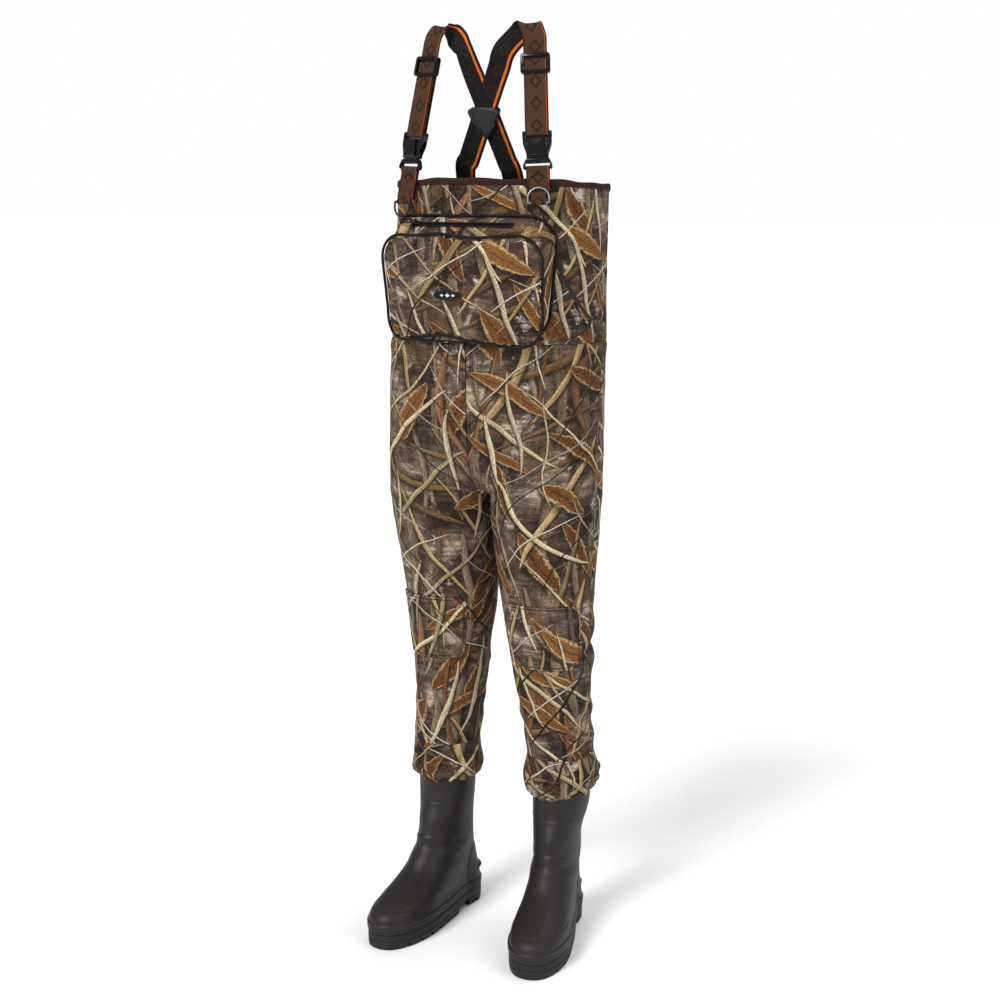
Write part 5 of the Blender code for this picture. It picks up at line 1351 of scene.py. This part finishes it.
def build_socket(name, placed):
    """The buckle's female half, with a raised tapering panel on its face and a bar that the strap bends round."""
    top = SOCKET_TOP
    side = [(0.0185, MOUTH), (0.0187, MOUTH + 0.006), (0.0205, MOUTH + 0.012), (0.0236, MOUTH + 0.021),
            (0.0243, MOUTH + 0.027), (0.0246, top - 0.012), (0.0250, top - 0.006), (0.0246, top)]
    obj = plate(f"{name}_buckle_socket", both_halves(side, 40), *about(BUCKLE_Y, 0.0056), 0.0020)
    carve(obj, block("inside", 0.03, about(BUCKLE_Y, 0.0032), (MOUTH - 0.01, MOUTH + 0.030), 0.0008))
    side = [(0.0128, MOUTH + 0.0020), (0.0120, MOUTH + 0.010), (0.0098, MOUTH + 0.022), (0.0090, top - 0.0125)]
    carve(obj, plate("panel", both_halves(side, 16), BUCKLE_Y - 0.0088, BUCKLE_Y - 0.0036, 0.0025), "UNION")
    for hand in (1, -1):
        rib = [(hand * x, z) for x, z in ((0.0150, MOUTH + 0.012), (0.0168, MOUTH + 0.012), (0.0180, MOUTH + 0.024),
                                          (0.0158, MOUTH + 0.024))][::hand]
        carve(obj, plate("rib", rib, BUCKLE_Y - 0.0062, BUCKLE_Y - 0.0045, 0.0004), "UNION")
    carve(obj, block("window", 0.0204, (-0.02, 0.02), (top - 0.0105, top + 0.01), 0.0010))
    bar = block("bar", POST_HALF + 0.002, about(BUCKLE_Y, 0.0018), about(SOCKET_BAR, 0.0018), 0.0007)
    carve(obj, bar, "UNION")
    fit(obj, placed, PLASTIC, f"{name}_release", [f"{name}_buckle_socket"])


def build_adjuster(name, placed):
    """A tri-glide: its rails pass in front of the strap and its centre bar behind."""
    half, tall, front, back = 0.0252, 0.0170, -0.0056, 0.0055
    frame_outline = rounded_outline([(-half, -tall), (half, -tall), (half, tall), (-half, tall)], 0.0045)
    obj = plate(f"{name}_adjuster", frame_outline, front, back, 0.0014)
    carve(obj, block("opening", 0.0205, (-0.03, 0.03), about(0, tall - 0.0054), 0.0010))
    carve(obj, block("passage", 0.0205, (-0.0026, 0.03), (-0.03, 0.03), 0.0006))
    carve(obj, block("bar", half - 0.001, (0.0029, back - 0.0001), (-0.0028, 0.0028), 0.0009), "UNION")
    placed = placed @ Matrix.Translation((0, 0, ADJUSTER))
    fit(obj, placed, PLASTIC, f"{name}_adjuster", [f"{name}_adjuster"])


def build_side(side, name):
    placed = run_frame(side)
    tab = loop_line(RING_BAR + 0.010, PLUG_BAR, TAB_BACK_Y, (0.0030, 0.0030, 0.0064))
    strap_line(placed, tab, f"{name}_strap_tab", STRAP_WIDTH, TAB_WEBBING, "waders", True)
    keeper = loop_line(RING_BAR, RING_BAR + 0.017, RING_BAR_Y + 0.0029, (0.0058, 0.0020, 0.0020))
    strap_line(placed, keeper, f"{name}_ring_keeper", KEEPER_WIDTH, KEEPER_WEBBING, "waders", True)
    face_y, back_y = -WEBBING / 2, 0.0067
    middle, radius = (face_y + back_y) / 2, (back_y - face_y) / 2
    line = [(face_y, z) for z in np.linspace(LOOP_TOP, SOCKET_BAR, 40)]
    line += arc(middle, SOCKET_BAR, radius, math.pi, math.pi, 14)
    line += [(back_y, z) for z in np.linspace(SOCKET_BAR, LOOP_BACK_TOP, 36)]
    strap_line(placed, line, f"{name}_strap_loop", STRAP_WIDTH, WEBBING, f"{name}_release", False)
    build_main_strap(side, name, placed)
    build_ring(side, name, placed)
    build_plug(name, placed)
    for hand in (1, -1):
        build_prong(name, placed, hand)
    build_socket(name, placed)
    build_adjuster(name, placed)
    # The stitched arch that holds the tab to the bib.
    front = TAB_BACK_Y - 0.0030 - TAB_WEBBING / 2 - 0.0001
    turn = np.linspace(0, math.pi, 60)
    rows = [(-0.0165, z) for z in np.linspace(-0.024, -0.006, 10)]
    rows += [(-0.0165 * math.cos(t), -0.006 + 0.0150 * math.sin(t)) for t in turn]
    rows += [(0.0165, z) for z in np.linspace(-0.006, -0.024, 10)]
    path = in_frame(placed, [(x, front, z) for x, z in rows])
    sew(f"{name}_tab_stitches", path, BLACK_THREAD, 0.0027, 0.0024, 0.0010)


def build_joiner():
    """Two plates that clasp the straps where they cross: a rounded triangle that points down."""
    top, point, half, bulge, thick = 0.026, -0.031, 0.030, 0.005, 0.0026
    corners = [(-half, top - 0.006), (half, top - 0.006), (0, point)]
    outline = []
    for (x0, z0), (x1, z1) in zip(corners, corners[1:] + corners[:1]):
        run, rise = x1 - x0, z1 - z0
        for t in np.linspace(0.05, 0.95, 26):
            swell = bulge * 4 * t * (1 - t) / math.hypot(run, rise)
            outline.append((x0 + run * t - rise * swell, z0 + rise * t + run * swell))
    outline = curve(outline, 200, closed=True).tolist()[::-1]
    placed = Matrix.Translation(JOINER) @ Matrix.Rotation(CROSSING_SLOPE, 4, "X")
    gap = CROSSING_STEP + WEBBING / 2 + 2 * GAP
    plates = (("joiner_front_plate", -gap - thick, -gap - thick), ("joiner_back_plate", gap, gap + thick))
    for name, low, shown in plates:
        obj = plate(name, outline, low, low + thick, 0.0011)
        inset = [(0.74 * x, 0.74 * (z + 0.002) - 0.001) for x, z in outline]
        carve(obj, plate("inset", inset, *about(shown, 0.0007), 0.0005))
        fit(obj, placed, JOINER_PLASTIC, "waders", [name])


build_bib()
build_legs()
build_boots()
build_hand_warmer()
build_pouch()
for one_side, one_name in SIDES:
    build_side(one_side, one_name)
build_joiner()
